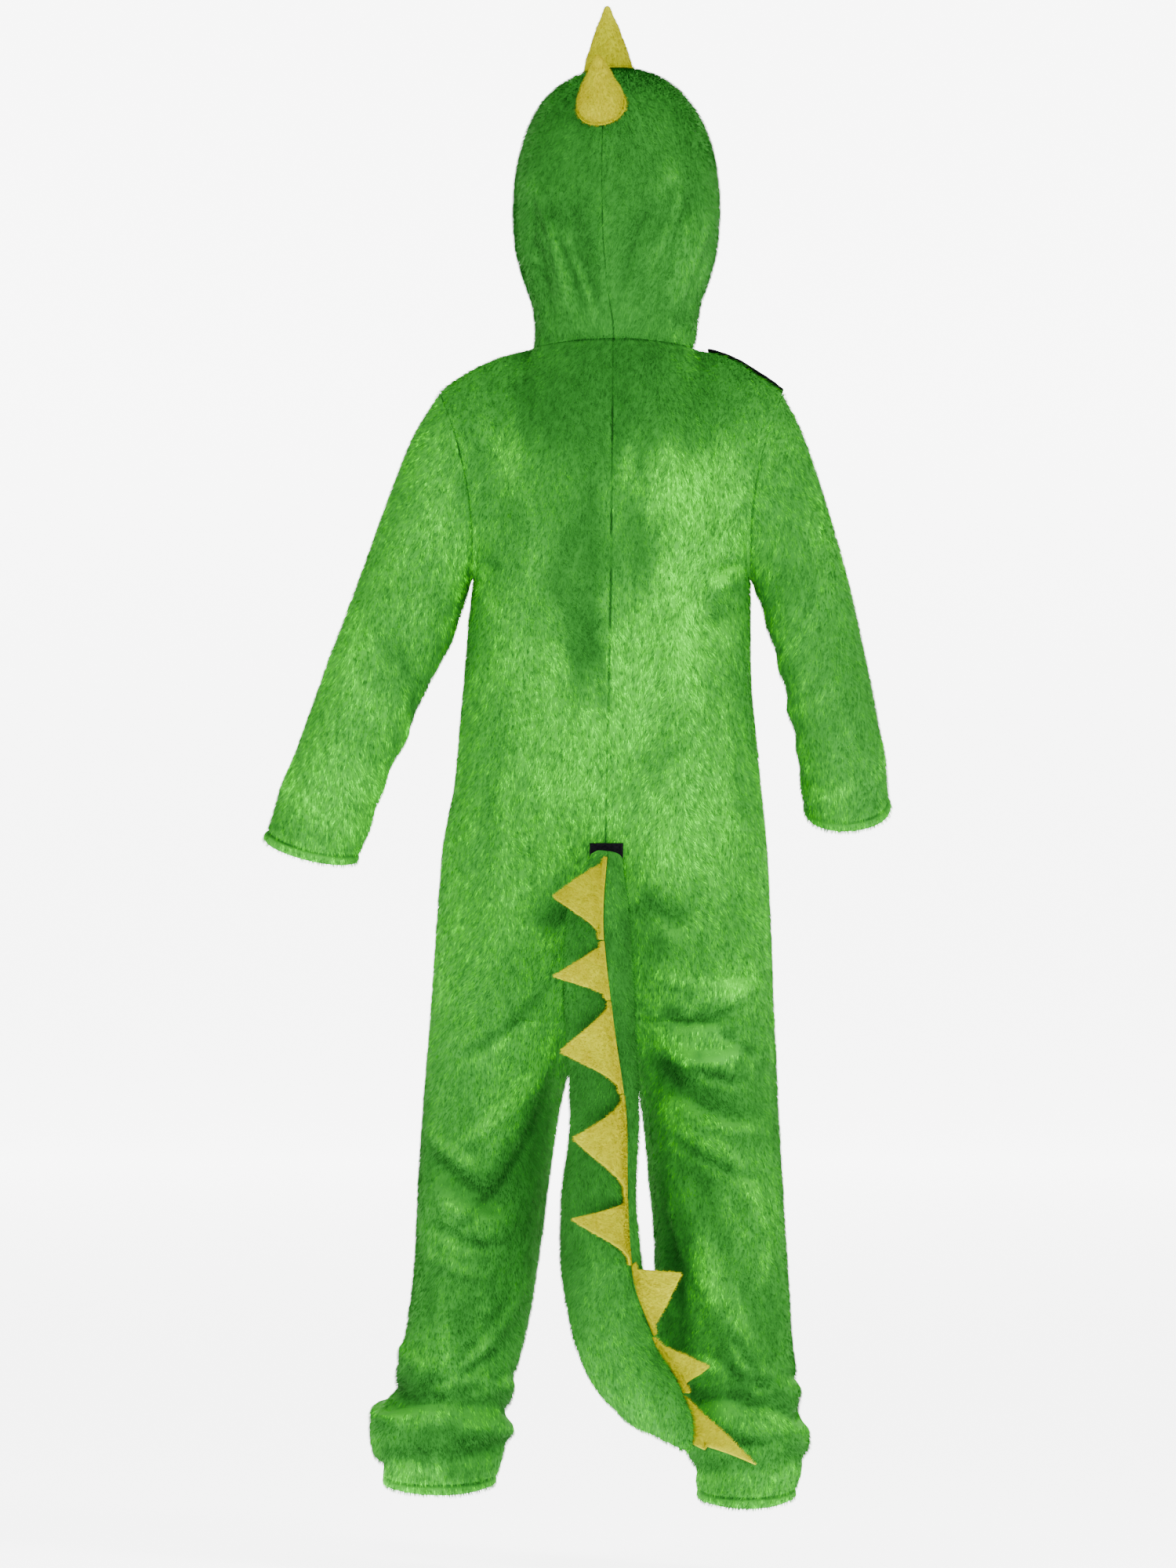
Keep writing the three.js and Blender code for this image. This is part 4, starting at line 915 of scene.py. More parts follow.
def pile(name, outer, outward, nap, strand, material, seed, shades):
    """Short pile on a grid of cloth: one leaning blade for each strand, brushed the way that nap points.

    shades says how light the nap is painted at each point of the grid, painted sheen and shade included.
    """
    quads = grid_quads(np.arange(outer.shape[0] * outer.shape[1]).reshape(outer.shape[:2]))
    triangles = np.concatenate([quads[:, [0, 1, 2]], quads[:, [0, 2, 3]]])
    points, directions = outer.reshape(-1, 3), outward.reshape(-1, 3)
    a, b, c = (points[triangles[:, k]] for k in range(3))
    area = np.cumsum(np.linalg.norm(np.cross(b - a, c - a), axis=-1) / 2)
    spacing = strand["spacing"] * 1
    width = strand["width"] * 1
    random = np.random.default_rng(seed)
    count = int(area[-1] / spacing)
    chosen = triangles[np.minimum(np.searchsorted(area, random.uniform(0, area[-1], count)), len(area) - 1)]
    u, v = random.uniform(0, 1, (2, count, 1))
    u, v = np.where(u + v > 1, 1 - u, u), np.where(u + v > 1, 1 - v, v)

    def blended(values):
        return values[chosen[:, 0]] * (1 - u - v) + values[chosen[:, 1]] * u + values[chosen[:, 2]] * v

    root, normal = blended(points), unit(blended(directions))
    nap = np.broadcast_to(nap, root.shape)
    along = unit(nap - normal * dot(nap, normal)[:, None])
    aside = np.cross(normal, along)
    shade = blended(shades.reshape(-1, 1))[:, 0]
    clump = soft_noise(root, (5, 5, 14), 12)
    tuft = soft_noise(root, (2, 2, 5), 13)
    veer = 24 * soft_noise(root, (42, 42, 64), 11) + 14 * clump + random.normal(0, 9, count)
    veer = np.radians(veer)[:, None]
    lift = strand["lift"] - 30 * (shade - 0.5) + 7 * clump + random.normal(0, 6, count)
    lift = np.radians(np.clip(lift, 10, 60))[:, None]
    grain = 0.15 * clump + 0.36 * tuft + random.normal(0, 0.27, count)
    grain = np.clip(grain, -0.5, 0.7)
    shade = shade + (0.1 + 1.8 * np.clip(shade, 0.1, 1)) * grain
    turned = along * np.cos(veer) + aside * np.sin(veer)
    square = aside * np.cos(veer) - along * np.sin(veer)
    tip = root + strand["length"] * (turned * np.cos(lift) + normal * np.sin(lift))
    roll = np.radians(random.normal(0, 24, count))[:, None]
    half = (square * np.cos(roll) + normal * np.sin(roll)) * width / 2
    blades = np.stack([root - half, root + half, tip], axis=1).reshape(-1, 3)
    faces = np.arange(3 * count).reshape(-1, 3)
    shade = 0.5 + NAP_RANGE * (shade - 0.5)
    made = mesh_object(name, blades, faces, [material], shaded_smooth=False, nap=np.repeat(shade, 3))
    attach(made, "root")
    return made


# Materials

def linear(red, green, blue):
    """A colour given as it looks on screen, from 0 to 255."""
    shares = [value / 255 for value in (red, green, blue)]
    return (*[s / 12.92 if s <= 0.04045 else ((s + 0.055) / 1.055) ** 2.4 for s in shares], 1)


class Surface:
    """A material built from procedural nodes in the costume's own frame."""

    def __init__(self, name, roughness, sheen=0.0, sheen_tint=(1, 1, 1, 1)):
        self.material = bpy.data.materials.new(name)
        self.material.use_nodes = True
        self.tree = self.material.node_tree
        self.shader = self.tree.nodes["Principled BSDF"]
        self.shader.inputs["Roughness"].default_value = roughness
        self.shader.inputs["Sheen Weight"].default_value = sheen
        self.shader.inputs["Sheen Roughness"].default_value = 0.45
        self.shader.inputs["Sheen Tint"].default_value = sheen_tint
        self.shader.inputs["Specular IOR Level"].default_value = 0.02
        self.place = self.tree.nodes.new("ShaderNodeTexCoord").outputs["Object"]

    def link(self, start, end):
        self.tree.links.new(start, end)

    def noise(self, size, detail):
        """Noise whose patches are size = (x, y, z) millimetres wide."""
        scaled = self.tree.nodes.new("ShaderNodeMapping")
        scaled.inputs["Scale"].default_value = [1 / (s * MM) for s in size]
        self.link(self.place, scaled.inputs["Vector"])
        made = self.tree.nodes.new("ShaderNodeTexNoise")
        made.inputs["Scale"].default_value = 1
        made.inputs["Detail"].default_value = detail
        made.inputs["Roughness"].default_value = 0.55
        self.link(scaled.outputs["Vector"], made.inputs["Vector"])
        return made.outputs["Fac"]

    def attribute(self, name):
        made = self.tree.nodes.new("ShaderNodeAttribute")
        made.attribute_name = name
        return made.outputs["Fac"]

    def math(self, kind, first, second):
        made = self.tree.nodes.new("ShaderNodeMath")
        made.operation = kind
        for socket, value in zip(made.inputs, (first, second)):
            if isinstance(value, (int, float)):
                socket.default_value = value
            else:
                self.link(value, socket)
        return made.outputs["Value"]

    def ramp(self, value, stops):
        made = self.tree.nodes.new("ShaderNodeValToRGB")
        elements = made.color_ramp.elements
        while len(elements) < len(stops):
            elements.new(0.5)
        for element, (position, colour) in zip(elements, stops):
            element.position, element.color = position, colour
        self.link(value, made.inputs["Fac"])
        return made.outputs["Color"]

    def colour(self, value):
        if isinstance(value, tuple):
            self.shader.inputs["Base Color"].default_value = value
        else:
            self.link(value, self.shader.inputs["Base Color"])

    def bump(self, value, height, strength=1.0):
        made = self.tree.nodes.new("ShaderNodeBump")
        made.inputs["Distance"].default_value = height * MM
        made.inputs["Strength"].default_value = strength
        self.link(value, made.inputs["Height"])
        self.link(made.outputs["Normal"], self.shader.inputs["Normal"])


def green_plush():
    made = Surface("green_plush", 0.8, sheen=0.06, sheen_tint=(0.1, 0.8, 0.03, 1))
    grains = made.noise((1.1, 1.1, 3.5), detail=1)
    # The plush's colour follows the nap attribute: random tone with painted sheen and shade
    made.colour(made.ramp(made.attribute("nap"), [
        (0.0, (0.011, 0.072, 0.009, 1)),
        (0.125, (0.015, 0.1, 0.012, 1)),
        (0.31, (0.023, 0.155, 0.017, 1)),
        (0.5, (0.031, 0.23, 0.016, 1)),
        (0.69, (0.042, 0.37, 0.008, 1)),
        (0.875, (0.056, 0.6, 0.003, 1)),
        (1.0, (0.075, 0.88, 0.001, 1)),
    ]))
    made.bump(grains, 0.5, 0.4)
    return made.material


def backing_knit():
    made = Surface("backing_knit", 0.95)
    loops = made.noise((1.4, 1.4, 1.4), detail=1)
    made.colour(made.ramp(loops, [(0.3, (0.02, 0.1, 0.016, 1)), (0.7, (0.035, 0.19, 0.028, 1))]))
    made.bump(made.noise((1.1, 1.1, 0.8), detail=0), 0.4)
    return made.material


def yellow_plush():
    made = Surface("yellow_plush", 0.85)
    blotches = made.noise((14, 14, 14), detail=4)
    specks = made.noise((1.6, 1.6, 1.6), detail=2)
    mixed = made.math("ADD", made.math("MULTIPLY", blotches, 0.35), made.math("MULTIPLY", specks, 0.25))
    # The nap attribute brings in the spikes' painted light
    mixed = made.math("ADD", mixed, made.math("MULTIPLY", made.attribute("nap"), 0.5))
    made.colour(made.ramp(mixed, [
        (0.3, (0.23, 0.2, 0.0, 1)),
        (0.5, (0.25, 0.24, 0.0, 1)),
        (0.7, (0.32, 0.325, 0.0, 1)),
    ]))
    made.bump(specks, 0.4, 0.4)
    return made.material


def tape_surface(name, roughness, grain, detail, dark, light, height):
    made = Surface(name, roughness)
    weave = made.noise(grain, detail=detail)
    made.colour(made.ramp(weave, [(0.35, linear(*dark)), (0.7, linear(*light))]))
    made.bump(weave, height)
    return made.material


GREEN, KNIT, YELLOW = green_plush(), backing_knit(), yellow_plush()
BLACK = tape_surface("black_tape", 0.6, (2.2, 2.2, 0.5), 1, (3, 3, 5), (17, 17, 21), 0.3)
HOOKS = tape_surface("hook_tape", 0.45, (1.5, 1.5, 1.5), 0, (4, 4, 7), (30, 30, 36), 0.7)


def hand_in(name, made):
    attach(made, "root")
    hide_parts(name)


def backing_painted_shade(shade):
    """Painted shade: the cloth between the strands is painted darker than they are."""
    return 0.5 + NAP_RANGE * (shade - 0.62)


def edge_painted_light(drop, bulge=0.0):
    """Painted highlight: pile lies lighter beside a seam and on a turned hem. Painted shade: darker in the
    seam and in the stitches.
    """
    seam = np.clip(drop / SEAM_DROP, 0, 1)
    return 0.16 * seam - 0.7 * seam ** 6 + np.clip(0.22 * bulge, -0.4, 0.14)


LEAST_SHARE = 0.31


def sewn_panel(name, outer, inward, relief, shade, drop, hem, seed, nap=DOWN):
    """One panel of green plush: its backing as a thin wall, and its pile."""
    bulge, extra = hem
    placed = outer + inward * (PILE - relief + drop - bulge)[..., None]
    turned = extra > 0.6
    # Random tone with painted sheen and shade, painted highlight and shade of the folds, and of the seams
    # and hem
    shade = nap_tone_and_painted_light(placed, -inward[..., 1]) + shade + edge_painted_light(drop, bulge)
    # The cloth under the strands gets a painted shade
    shell = wall(name, placed, inward, SHELL + extra, [GREEN, KNIT], turned, backing_painted_shade(shade))
    hand_in(name, shell)
    fur = pile(f"{name}_pile", placed, -inward, nap, STRAND, GREEN, seed, shade)
    width, length, area = flat_sizes(name, placed)
    area = min(max(area, LEAST_SHARE * width * length), width * length)
    return shell


# Body and legs

NECK_SHARES = spaced(95, SEAM_STEPS, OPEN) * NECK_SHARE
SHOULDER_SHARES = NECK_SHARE + spaced(95, OPEN, SEAM_STEPS) * (1 - NECK_SHARE)
TURNS = np.concatenate([NECK_SHARES, SHOULDER_SHARES[1:]])
YOKE_DOWNS = spaced(195, SEAM_STEPS, OPEN)[:-1]


def body_rows(side):
    trunk = np.linspace(UNDERARM_Z, CROTCH_Z, 81)[:-1]
    leg = spaced(CROTCH_Z - side.hem_z, SEAM_STEPS, HEM_STEPS)
    return np.concatenate([trunk, CROTCH_Z + (side.hem_z - CROTCH_Z) * leg])


def body_surface(side, face, turns, downs, heights):
    """Points of a body-and-leg piece before its folds, and the directions square to it."""
    yoke = yoke_point(side, face, turns[None, :], downs[:, None])
    below = body_section(side, face, heights[:, None], turns[None, :])
    points = np.concatenate([yoke, below])
    return points, grid_normals(points, (side.sign * 75, 0, -500))


def body_panel(name, side, face, seed):
    heights = body_rows(side)
    points, inward = body_surface(side, face, TURNS, YOKE_DOWNS, heights)
    levels = points[:, 0, 2].copy()
    low = smooth((CROTCH_Z - levels[:, None]) / (CROTCH_Z - side.hem_z)) ** 4
    points[..., 2] -= face * HEM_SAG * low * np.sin(math.pi * TURNS)
    left, right, top, bottom = distances(points)
    yoke = len(YOKE_DOWNS)
    crotch = yoke + np.argmin(np.abs(heights - CROTCH_Z))
    centre_line = across_line(points[:, 0], X, np.array([0, -face, 0.01]))
    inseam = across_line(points[:, 0], Y, X * side.sign)
    first = np.where((np.arange(len(levels)) < crotch)[:, None], centre_line, inseam)
    first[crotch] = Z
    last = across_line(points[:, -1], Y, -X * side.sign)
    last[:yoke] = armhole_inward(side, face * math.pi * YOKE_DOWNS)
    shoulder = across_line(points[0], Y, -Z)
    over = np.where((TURNS <= NECK_SHARE)[:, None], neck_inward(points[0]), shoulder)
    inward = lean_to(inward, first[:, None], left)
    inward = lean_to(inward, last[:, None], right)
    inward = lean_to(inward, over[None], top)
    relief, shade = body_relief(side, points)
    nearest = np.minimum(np.minimum(left, right), top)
    drop = seam_drop(nearest, points)
    hem = hem_shape(bottom, points, seed)
    return sewn_panel(name, points, inward, relief, shade, drop, hem, seed)


# Sleeves

SLEEVE_SHARES = spaced(430, SEAM_STEPS, HEM_STEPS)
SLEEVE_ANGLES = math.pi * (2 * spaced(290, SEAM_STEPS, SEAM_STEPS) - 1)


def sleeve_point(side, along, angle):
    """Points of the sleeve: along is 0 at the armhole and 1 at the cuff, and angle is pi at the underarm."""
    row = side.sleeve.at(along)
    far, near = along_curve(side.sleeve_outer, along), along_curve(side.sleeve_inner, along)
    centre = (far + near) / 2 + row["middle"][..., None] * Y
    tilt = np.radians(row["tilt"])
    deep = xyz(0 * tilt, np.cos(tilt), -np.sin(tilt)) * row["depth"][..., None]
    points = centre + (far - near) / 2 * np.cos(angle)[..., None] + deep * np.sin(angle)[..., None]
    bow = ARMHOLE_BOW * np.sin(angle) ** 2 * (1 - smooth(along * 10))
    points[..., 0] -= side.sign * bow
    return points


def sleeve_relief(side, along, angle):
    inner = (1 - np.cos(angle)) / 2
    total = np.zeros(np.broadcast(along, angle).shape)
    for _, sign, at, lean, width, rise, on_inner in SLEEVE_FOLDS.rows:
        if sign in (0, side.sign):
            crease = rise * np.exp(-(((along - at - lean * np.sin(angle)) / width) ** 2))
            total = total + crease * (inner if on_inner else 1)
    return total


def sleeve_panel(name, side, seed):
    along, angle = np.broadcast_arrays(SLEEVE_SHARES[:, None], SLEEVE_ANGLES[None, :])
    points = sleeve_point(side, along, angle)
    across = len(SLEEVE_ANGLES) // 2
    middle = len(SLEEVE_SHARES) // 2
    inside = (points[middle, across] + points[middle, 0]) / 2
    inward = grid_normals(points, inside)
    seam = unit(inward[:, 0] + inward[:, -1])
    left, right, top, bottom = distances(points)
    inward = lean_to(inward, seam[:, None], np.minimum(left, right))
    inward = lean_to(inward, armhole_inward(side, SLEEVE_ANGLES)[None], top)
    at_body, body_shade = body_relief(side, points)
    share = smooth(top / 40)
    own, above, below = (sleeve_relief(side, along + step, angle) for step in (0, -0.009, 0.009))
    # Painted highlight and shade of the sleeve's own folds
    shade = body_shade * (1 - share) + 1.8 * fold_painted_light(own, above, below) * share
    relief = at_body * (1 - share) + (own + slack(points, 1.3, 25)) * share
    drop = seam_drop(np.minimum(np.minimum(left, right), top), points)
    return sewn_panel(name, points, inward, relief, shade, drop, hem_shape(bottom, points, seed), seed)


# Hood

HOOD_SHARES = spaced(330, SEAM_STEPS, HEM_STEPS)
HOOD_ACROSS = spaced(200, SEAM_STEPS, HEM_STEPS)


def onto_hood(points):
    """Moves points along their direction from the head's middle until they lie on the hood."""
    x, y, z = points[..., 0] - HOOD["x"], points[..., 1], points[..., 2]
    rise = np.maximum(z - HOOD["widest_z"], 0)
    profile = HOOD_PROFILE.at(np.minimum(z, HOOD["widest_z"]))
    depth = np.where(y > 0, profile["back"], profile["front"])
    flat = np.hypot(x / profile["half_width"], y / depth)
    round_ = HOOD["roundness"]
    over = (flat ** round_ + (rise / HOOD["crown"]) ** round_) ** (1 / round_)
    size = np.where(rise > 0, over, flat)
    height = np.where(rise > 0, HOOD["widest_z"] + rise / size, z)
    return xyz(HOOD["x"] + x / size, y / size, height)


def hood_point(side, along, across):
    path = HOOD_PATH.at(along)
    sweep = np.radians(path["sweep"])
    angle = sweep * across
    forward = (1 - np.cos(angle)) / (1 - np.cos(sweep))
    lean = HOOD["lean"] * np.sin(math.pi * along) * (1 - across) ** 2
    width = HOOD_PROFILE.at(HOOD["widest_z"])["half_width"]
    loose = xyz(
        HOOD["x"] + lean + side.sign * width * np.sin(angle),
        path["seam_y"] + (path["face_y"] - path["seam_y"]) * forward,
        path["seam_z"] + (path["face_z"] - path["seam_z"]) * forward,
    )
    at_neck = neck_point(side.sign, across * HOOD_NECK_SWEEP)
    return at_neck + (onto_hood(loose) - at_neck) * smooth(along * 12)[..., None]


def hood_panel(name, side, seed):
    along, across = np.broadcast_arrays(HOOD_SHARES[:, None], HOOD_ACROSS[None, :])
    points = hood_point(side, along, across)
    inward = grid_normals(points, (HOOD["x"], 0, HOOD["widest_z"]))
    centre = unit(inward[:, 0] * np.array([0, 1, 1]))
    left, right, top, bottom = distances(points)
    inward = lean_to(inward, centre[:, None], left)
    inward = lean_to(inward, neck_inward(points[0])[None], top)
    facing = np.clip(points[..., 1] / 60, -1, 1)
    # shade is the painted highlight and shade of the hood's folds
    folds, shade = shaded_folds(None, points, facing)
    relief = (folds + slack(points, 1.2, 45)) * smooth(top / 14)
    drop = seam_drop(np.minimum(left, top), points)
    hem = hem_shape(np.minimum(right, bottom), points, seed)
    nap = DOWN + 0.35 * Y
    return sewn_panel(name, points, inward, relief, shade, drop, hem, seed, nap)


seed = 100
for side in (LEFT, RIGHT):
    for name, face in (("back", 1), ("front", -1)):
        seed += 1
        body_panel(f"{name}_{side.name}", side, face, seed)
    sleeve_panel(f"sleeve_{side.name}", side, seed + 10)
    hood_panel(f"hood_{side.name}", side, seed + 20)


# Tail

TAIL_STEPS = 20  # points on the tail's line for each row of its table
TAIL_LINE, TAIL_SHARES = centripetal(TAIL.rows[:, 1:4], TAIL_STEPS)
TAIL_LENGTH = np.linalg.norm(np.diff(TAIL_LINE, axis=0), axis=-1).sum()
TAIL_KNOTS = TAIL_SHARES[::TAIL_STEPS] * TAIL_LENGTH
TAIL_AT = Table("distance radius ridge", np.column_stack([TAIL_KNOTS, TAIL.rows[:, 4:6]]))
TAIL_END = np.array([6, 4, 2.5, 1.2, 0.3])  # the last rows, by their distance from the tip
TAIL_ROWS = np.concatenate([[0, 1.5, 3], np.arange(6, TAIL_LENGTH - 8, GRID_STEP), TAIL_LENGTH - TAIL_END])
TAIL_ANGLES = math.pi * spaced(100, SEAM_STEPS, SEAM_STEPS)
TAIL_TIP_ROUND = 7
TAIL_TOP_PAINTED_SHADE = 0.26  # painted shade: how much darker the nap is painted at the tail's top, where it joins the body, than on the body


def tail_section(distance):
    """The tail's middle, its directions and its sizes at distances from its top."""
    share = np.clip(distance / TAIL_LENGTH, 0, 1)
    centre = along_curve((TAIL_LINE, TAIL_SHARES), share)
    step = 0.01
    ahead = along_curve((TAIL_LINE, TAIL_SHARES), np.minimum(share + step, 1))
    behind = along_curve((TAIL_LINE, TAIL_SHARES), np.maximum(share - step, 0))
    along = unit(ahead - behind)
    back = unit(Y - along * along[..., 1:2])
    right = unit(np.cross(back, along))
    row = TAIL_AT.at(distance)
    return centre, along, back, right, row["radius"], np.radians(row["ridge"])


def tail_out(section, angle):
    _, _, back, right, _, _ = section
    return back * np.cos(angle)[..., None] + right * np.sin(angle)[..., None]


def tail_half(name, side, seed):
    """One half of the stuffed tail: its cloth from the ridge seam round to the seam underneath."""
    rows, turns = np.broadcast_arrays(TAIL_ROWS[:, None], TAIL_ANGLES[None, :])
    section = tail_section(rows)
    centre, _, _, _, radius, ridge = section
    angle = ridge - side.sign * turns
    outward = tail_out(section, angle)
    tip = np.clip((TAIL_LENGTH - rows) / TAIL_TIP_ROUND, 0, 1)
    start = np.clip(rows / 2.5, 0, 1)
    closing = np.sqrt(1 - (1 - tip) ** 2) * (0.9 + 0.1 * np.sqrt(1 - (1 - start) ** 2))
    points = centre + outward * (radius * closing)[..., None]
    left, right, _, _ = distances(points)
    beside = np.minimum(left, right)
    puckers = 0.8 * smooth(1 - beside / 26) * soft_noise(points, (10, 10, 13), seed)
    relief = slack(points, 1.2, 65) + puckers
    drop = seam_drop(beside, points)
    placed = points - outward * (PILE * np.minimum(tip * 3, 1) - (relief - drop) * tip)[..., None]
    cut = centre + (placed - centre) * 0.02
    # Puckers that stand out get a painted highlight and those that sink a painted shade
    shade = nap_tone_and_painted_light(placed, outward[..., 1]) + 0.08 * puckers + edge_painted_light(drop)
    # Painted shade at the tail's top, where it joins the body
    shade = shade - TAIL_TOP_PAINTED_SHADE * smooth(1.3 - rows / 420)
    filled = np.linalg.norm(cut - placed, axis=-1)
    # The tail's cloth under the strands is painted darker, a painted shade
    made = wall(name, placed, unit(cut - placed), filled, [GREEN, GREEN], nap=shade - 0.1)
    hand_in(name, made)
    fur = pile(f"{name}_pile", placed, outward, DOWN, STRAND, GREEN, seed, shade)
    fur.parent = made
    flat_sizes(name, placed)


tail_half("tail_left", LEFT, 201)
tail_half("tail_right", RIGHT, 202)


# Tail spikes

SPIKE_ROOT_STEPS = np.array([0, 1.5, 3.2, 4.1, 4.5, 5, 6.4])
SPIKE_TIP_STEPS = np.array([0, 1, 2.2, 4])
SPIKE_SIDE_STEPS = np.array([0, 0.7, 1.6, 2.8, 4.4])
SPIKE_COLUMNS = spaced(70, SPIKE_SIDE_STEPS, SPIKE_SIDE_STEPS, 5)
SPIKE_PILE = 0.7
SPIKE_EDGE = 2.4  # width of the rounding at a spike's edge
SPIKE_STRIP = {"height": 4.8, "reach": 1.85, "sunk": 2.4}  # the strip at the root that joins the spikes


def spike_edge(distance):
    """Share of the full thickness at a distance from a spike's edge."""
    return np.sqrt(np.maximum(1 - (1 - np.clip(distance / SPIKE_EDGE, 0, 1)) ** 2, 0))


def tail_spike(row, seed):
    number, start, end, length, root_way, tip_way, slide, lying = row
    middle, width = (start + end) / 2, end - start
    base = tail_section(np.array(middle))
    shares = spaced(length, SPIKE_ROOT_STEPS, SPIKE_TIP_STEPS, 4)
    fine = np.linspace(0, 1, 61)
    way = np.radians(root_way + (tip_way - root_way) * (fine[:-1] + fine[1:]) / 2)
    outward, sideways = (
        np.interp(shares, fine, np.concatenate([[0], np.cumsum(step)]) * length / 60)
        for step in (np.cos(way), np.sin(way))
    )
    share, across = np.broadcast_arrays(shares[:, None], SPIKE_COLUMNS[None, :] - 0.5)
    hollow = (0.02 + 0.05 * np.sign(across)) * np.sin(math.pi * share)
    strip = smooth((SPIKE_STRIP["height"] - share * length) / 0.9)
    full_width = 1 + 2 * SPIKE_STRIP["reach"] / width
    narrow = ((1 - share) * (0.95 - hollow) + 0.03 * share) * (1 - strip) + full_width * strip
    offset = across * width
    foot = tail_section(middle + offset * (1 - share))
    centre, _, _, _, radius, ridge = foot
    sewn = SPIKE_STRIP["sunk"] * smooth(1 - share * length / 16)
    seat = centre + tail_out(foot, ridge) * (radius + LYING_GAP + lying * FELT - sewn)[..., None]
    _, base_along, base_out, base_right, _, _ = base
    seat = seat + base_along * (offset * narrow - offset * (1 - share))[..., None]
    flutter = 2.2 * soft_noise(seat, (26, 26, 26), seed) * share
    points = (
        seat
        + base_out * (outward[:, None] + flutter)[..., None]
        + base_right * sideways[:, None, None]
        + base_along * (slide * share)[..., None]
    )
    inward = grid_normals(points, base[0])
    left, right, top, bottom = distances(points)
    near_edge = np.minimum(np.minimum(left, right), bottom)
    full = 0.22 + 0.78 * spike_edge(near_edge)
    thickness = (FELT - 2 * SPIKE_PILE) * full
    placed = points + inward * ((FELT - thickness) / 2)[..., None]
    name = f"tail_spike_{int(number)}"
    # Painted light: each spike is painted darker at its root on the tail and lighter towards its tip
    spike_painted_light = 0.34 + 0.24 * share + 0.08 * soft_noise(points, (12, 12, 12), seed)
    made = wall(name, placed, inward, thickness, [YELLOW, YELLOW], nap=spike_painted_light)
    hand_in(name, made)
    nap = base_right * (1 if sideways[-1] > 0 else -1)
    front = pile(f"{name}_pile", placed, -inward, nap, SHORT_STRAND, YELLOW, seed, spike_painted_light)
    rear_side = placed + inward * thickness[..., None]
    rear = pile(f"{name}_rear_pile", rear_side, inward, nap, SHORT_STRAND, YELLOW, seed + 50, spike_painted_light)
    wide, tall, area = flat_sizes(name, points)
    area = max(area, LEAST_SHARE * wide * tall)


for row in TAIL_SPIKES.rows:
    tail_spike(row, 300 + int(row[0]))


# Hood spikes

HOOD_MIDDLE = np.array([HOOD["x"], 0, HOOD["widest_z"]])
HOOD_SPIKE_TURNS = np.linspace(0, 2 * math.pi, 41)


def seated(points, gap):
    """Points moved to a gap above the hood."""
    on = onto_hood(points)
    return on + unit(on - HOOD_MIDDLE) * gap


def hood_spike(name, size):
    """A stuffed cone with a narrow sewn flange that follows the hood."""
    base, tip = np.array(size["base"], float), np.array(size["tip"], float)
    length = np.linalg.norm(tip - base)
    axis = (tip - base) / length
    aside = unit(X - axis * axis[0])
    other = np.cross(axis, aside)
    circle = np.cos(HOOD_SPIKE_TURNS)[:, None] * aside + np.sin(HOOD_SPIKE_TURNS)[:, None] * other
    radius, flange = HOOD_SPIKE_RADIUS, size["flange"]
    foot = [
        (radius * 0.4, LYING_GAP),
        (radius * 0.8, LYING_GAP),
        (radius - 0.8, LYING_GAP),
        (radius, 1.1),
        (radius - 0.8, 2),
        (radius - flange, 1.5),
    ]
    rings = [seated(base + circle * reach, gap) for reach, gap in foot]
    first = len(rings) - 1
    start = rings[-1]
    for share in np.concatenate([np.linspace(0.04, 0.9, 18), [0.95, 0.98, 1]]):
        spread = SPIKE_PROFILE.at(share)["radius"] * radius
        bend = size["bend"] * math.sin(math.pi * share)
        ring = base + axis * share * length + circle * spread - other * bend
        risen = share / HOOD_SPIKE_FOOT
        share_in = float(smooth(risen))
        low = start + (ring - start) * min(1, risen)
        rings.append(low * (1 - share_in) + ring * share_in)
    points = np.stack(rings)
    out = grid_normals(points[first:], base + axis * length * 0.3)
    dents = 0.9 * soft_noise(points[first:], (11, 11, 15), size["seed"])
    up = np.linspace(0, 1, len(points) - first)
    fade = smooth(up * 5) * smooth((1 - up) * 4)
    dents = dents * fade[:, None]
    points[first:] += out * (dents + SPIKE_PILE * fade[:, None])[..., None]
    points[:, -1] = points[:, 0]
    rows, columns = points.shape[0], points.shape[1] - 1
    index = np.arange(rows * columns).reshape(rows, columns)
    index = np.column_stack([index, index[:, 0]])
    ends = [rings[0][:-1].mean(axis=0), points[-1].mean(axis=0)]
    solid = np.concatenate([points[:, :-1].reshape(-1, 3), ends])
    quads = grid_quads(index)
    low, top = len(solid) - 2, len(solid) - 1
    caps = [[low, index[0, j + 1], index[0, j]] for j in range(columns)]
    caps += [[top, index[-1, j], index[-1, j + 1]] for j in range(columns)]
    faces = turned_out(solid, np.concatenate([quads[:, [0, 1, 2]], quads[:, [0, 2, 3]], caps]))
    # The spike is painted lighter or darker as a whole by its nap value, a painted light
    made = mesh_object(name, solid, faces, [YELLOW], nap=np.full(len(solid), size["nap"]))
    hand_in(name, made)
    cloth = points[first - 2:]
    outward = -grid_normals(cloth, base + axis * 5)
    shade = np.full(cloth.shape[:2], size["nap"])
    fur = pile(f"{name}_pile", cloth, outward, -axis, SHORT_STRAND, YELLOW, size["seed"], shade)
    fur.parent = made


for name, size in HOOD_SPIKES.items():
    hood_spike(name, size)


# Closing strip and tapes

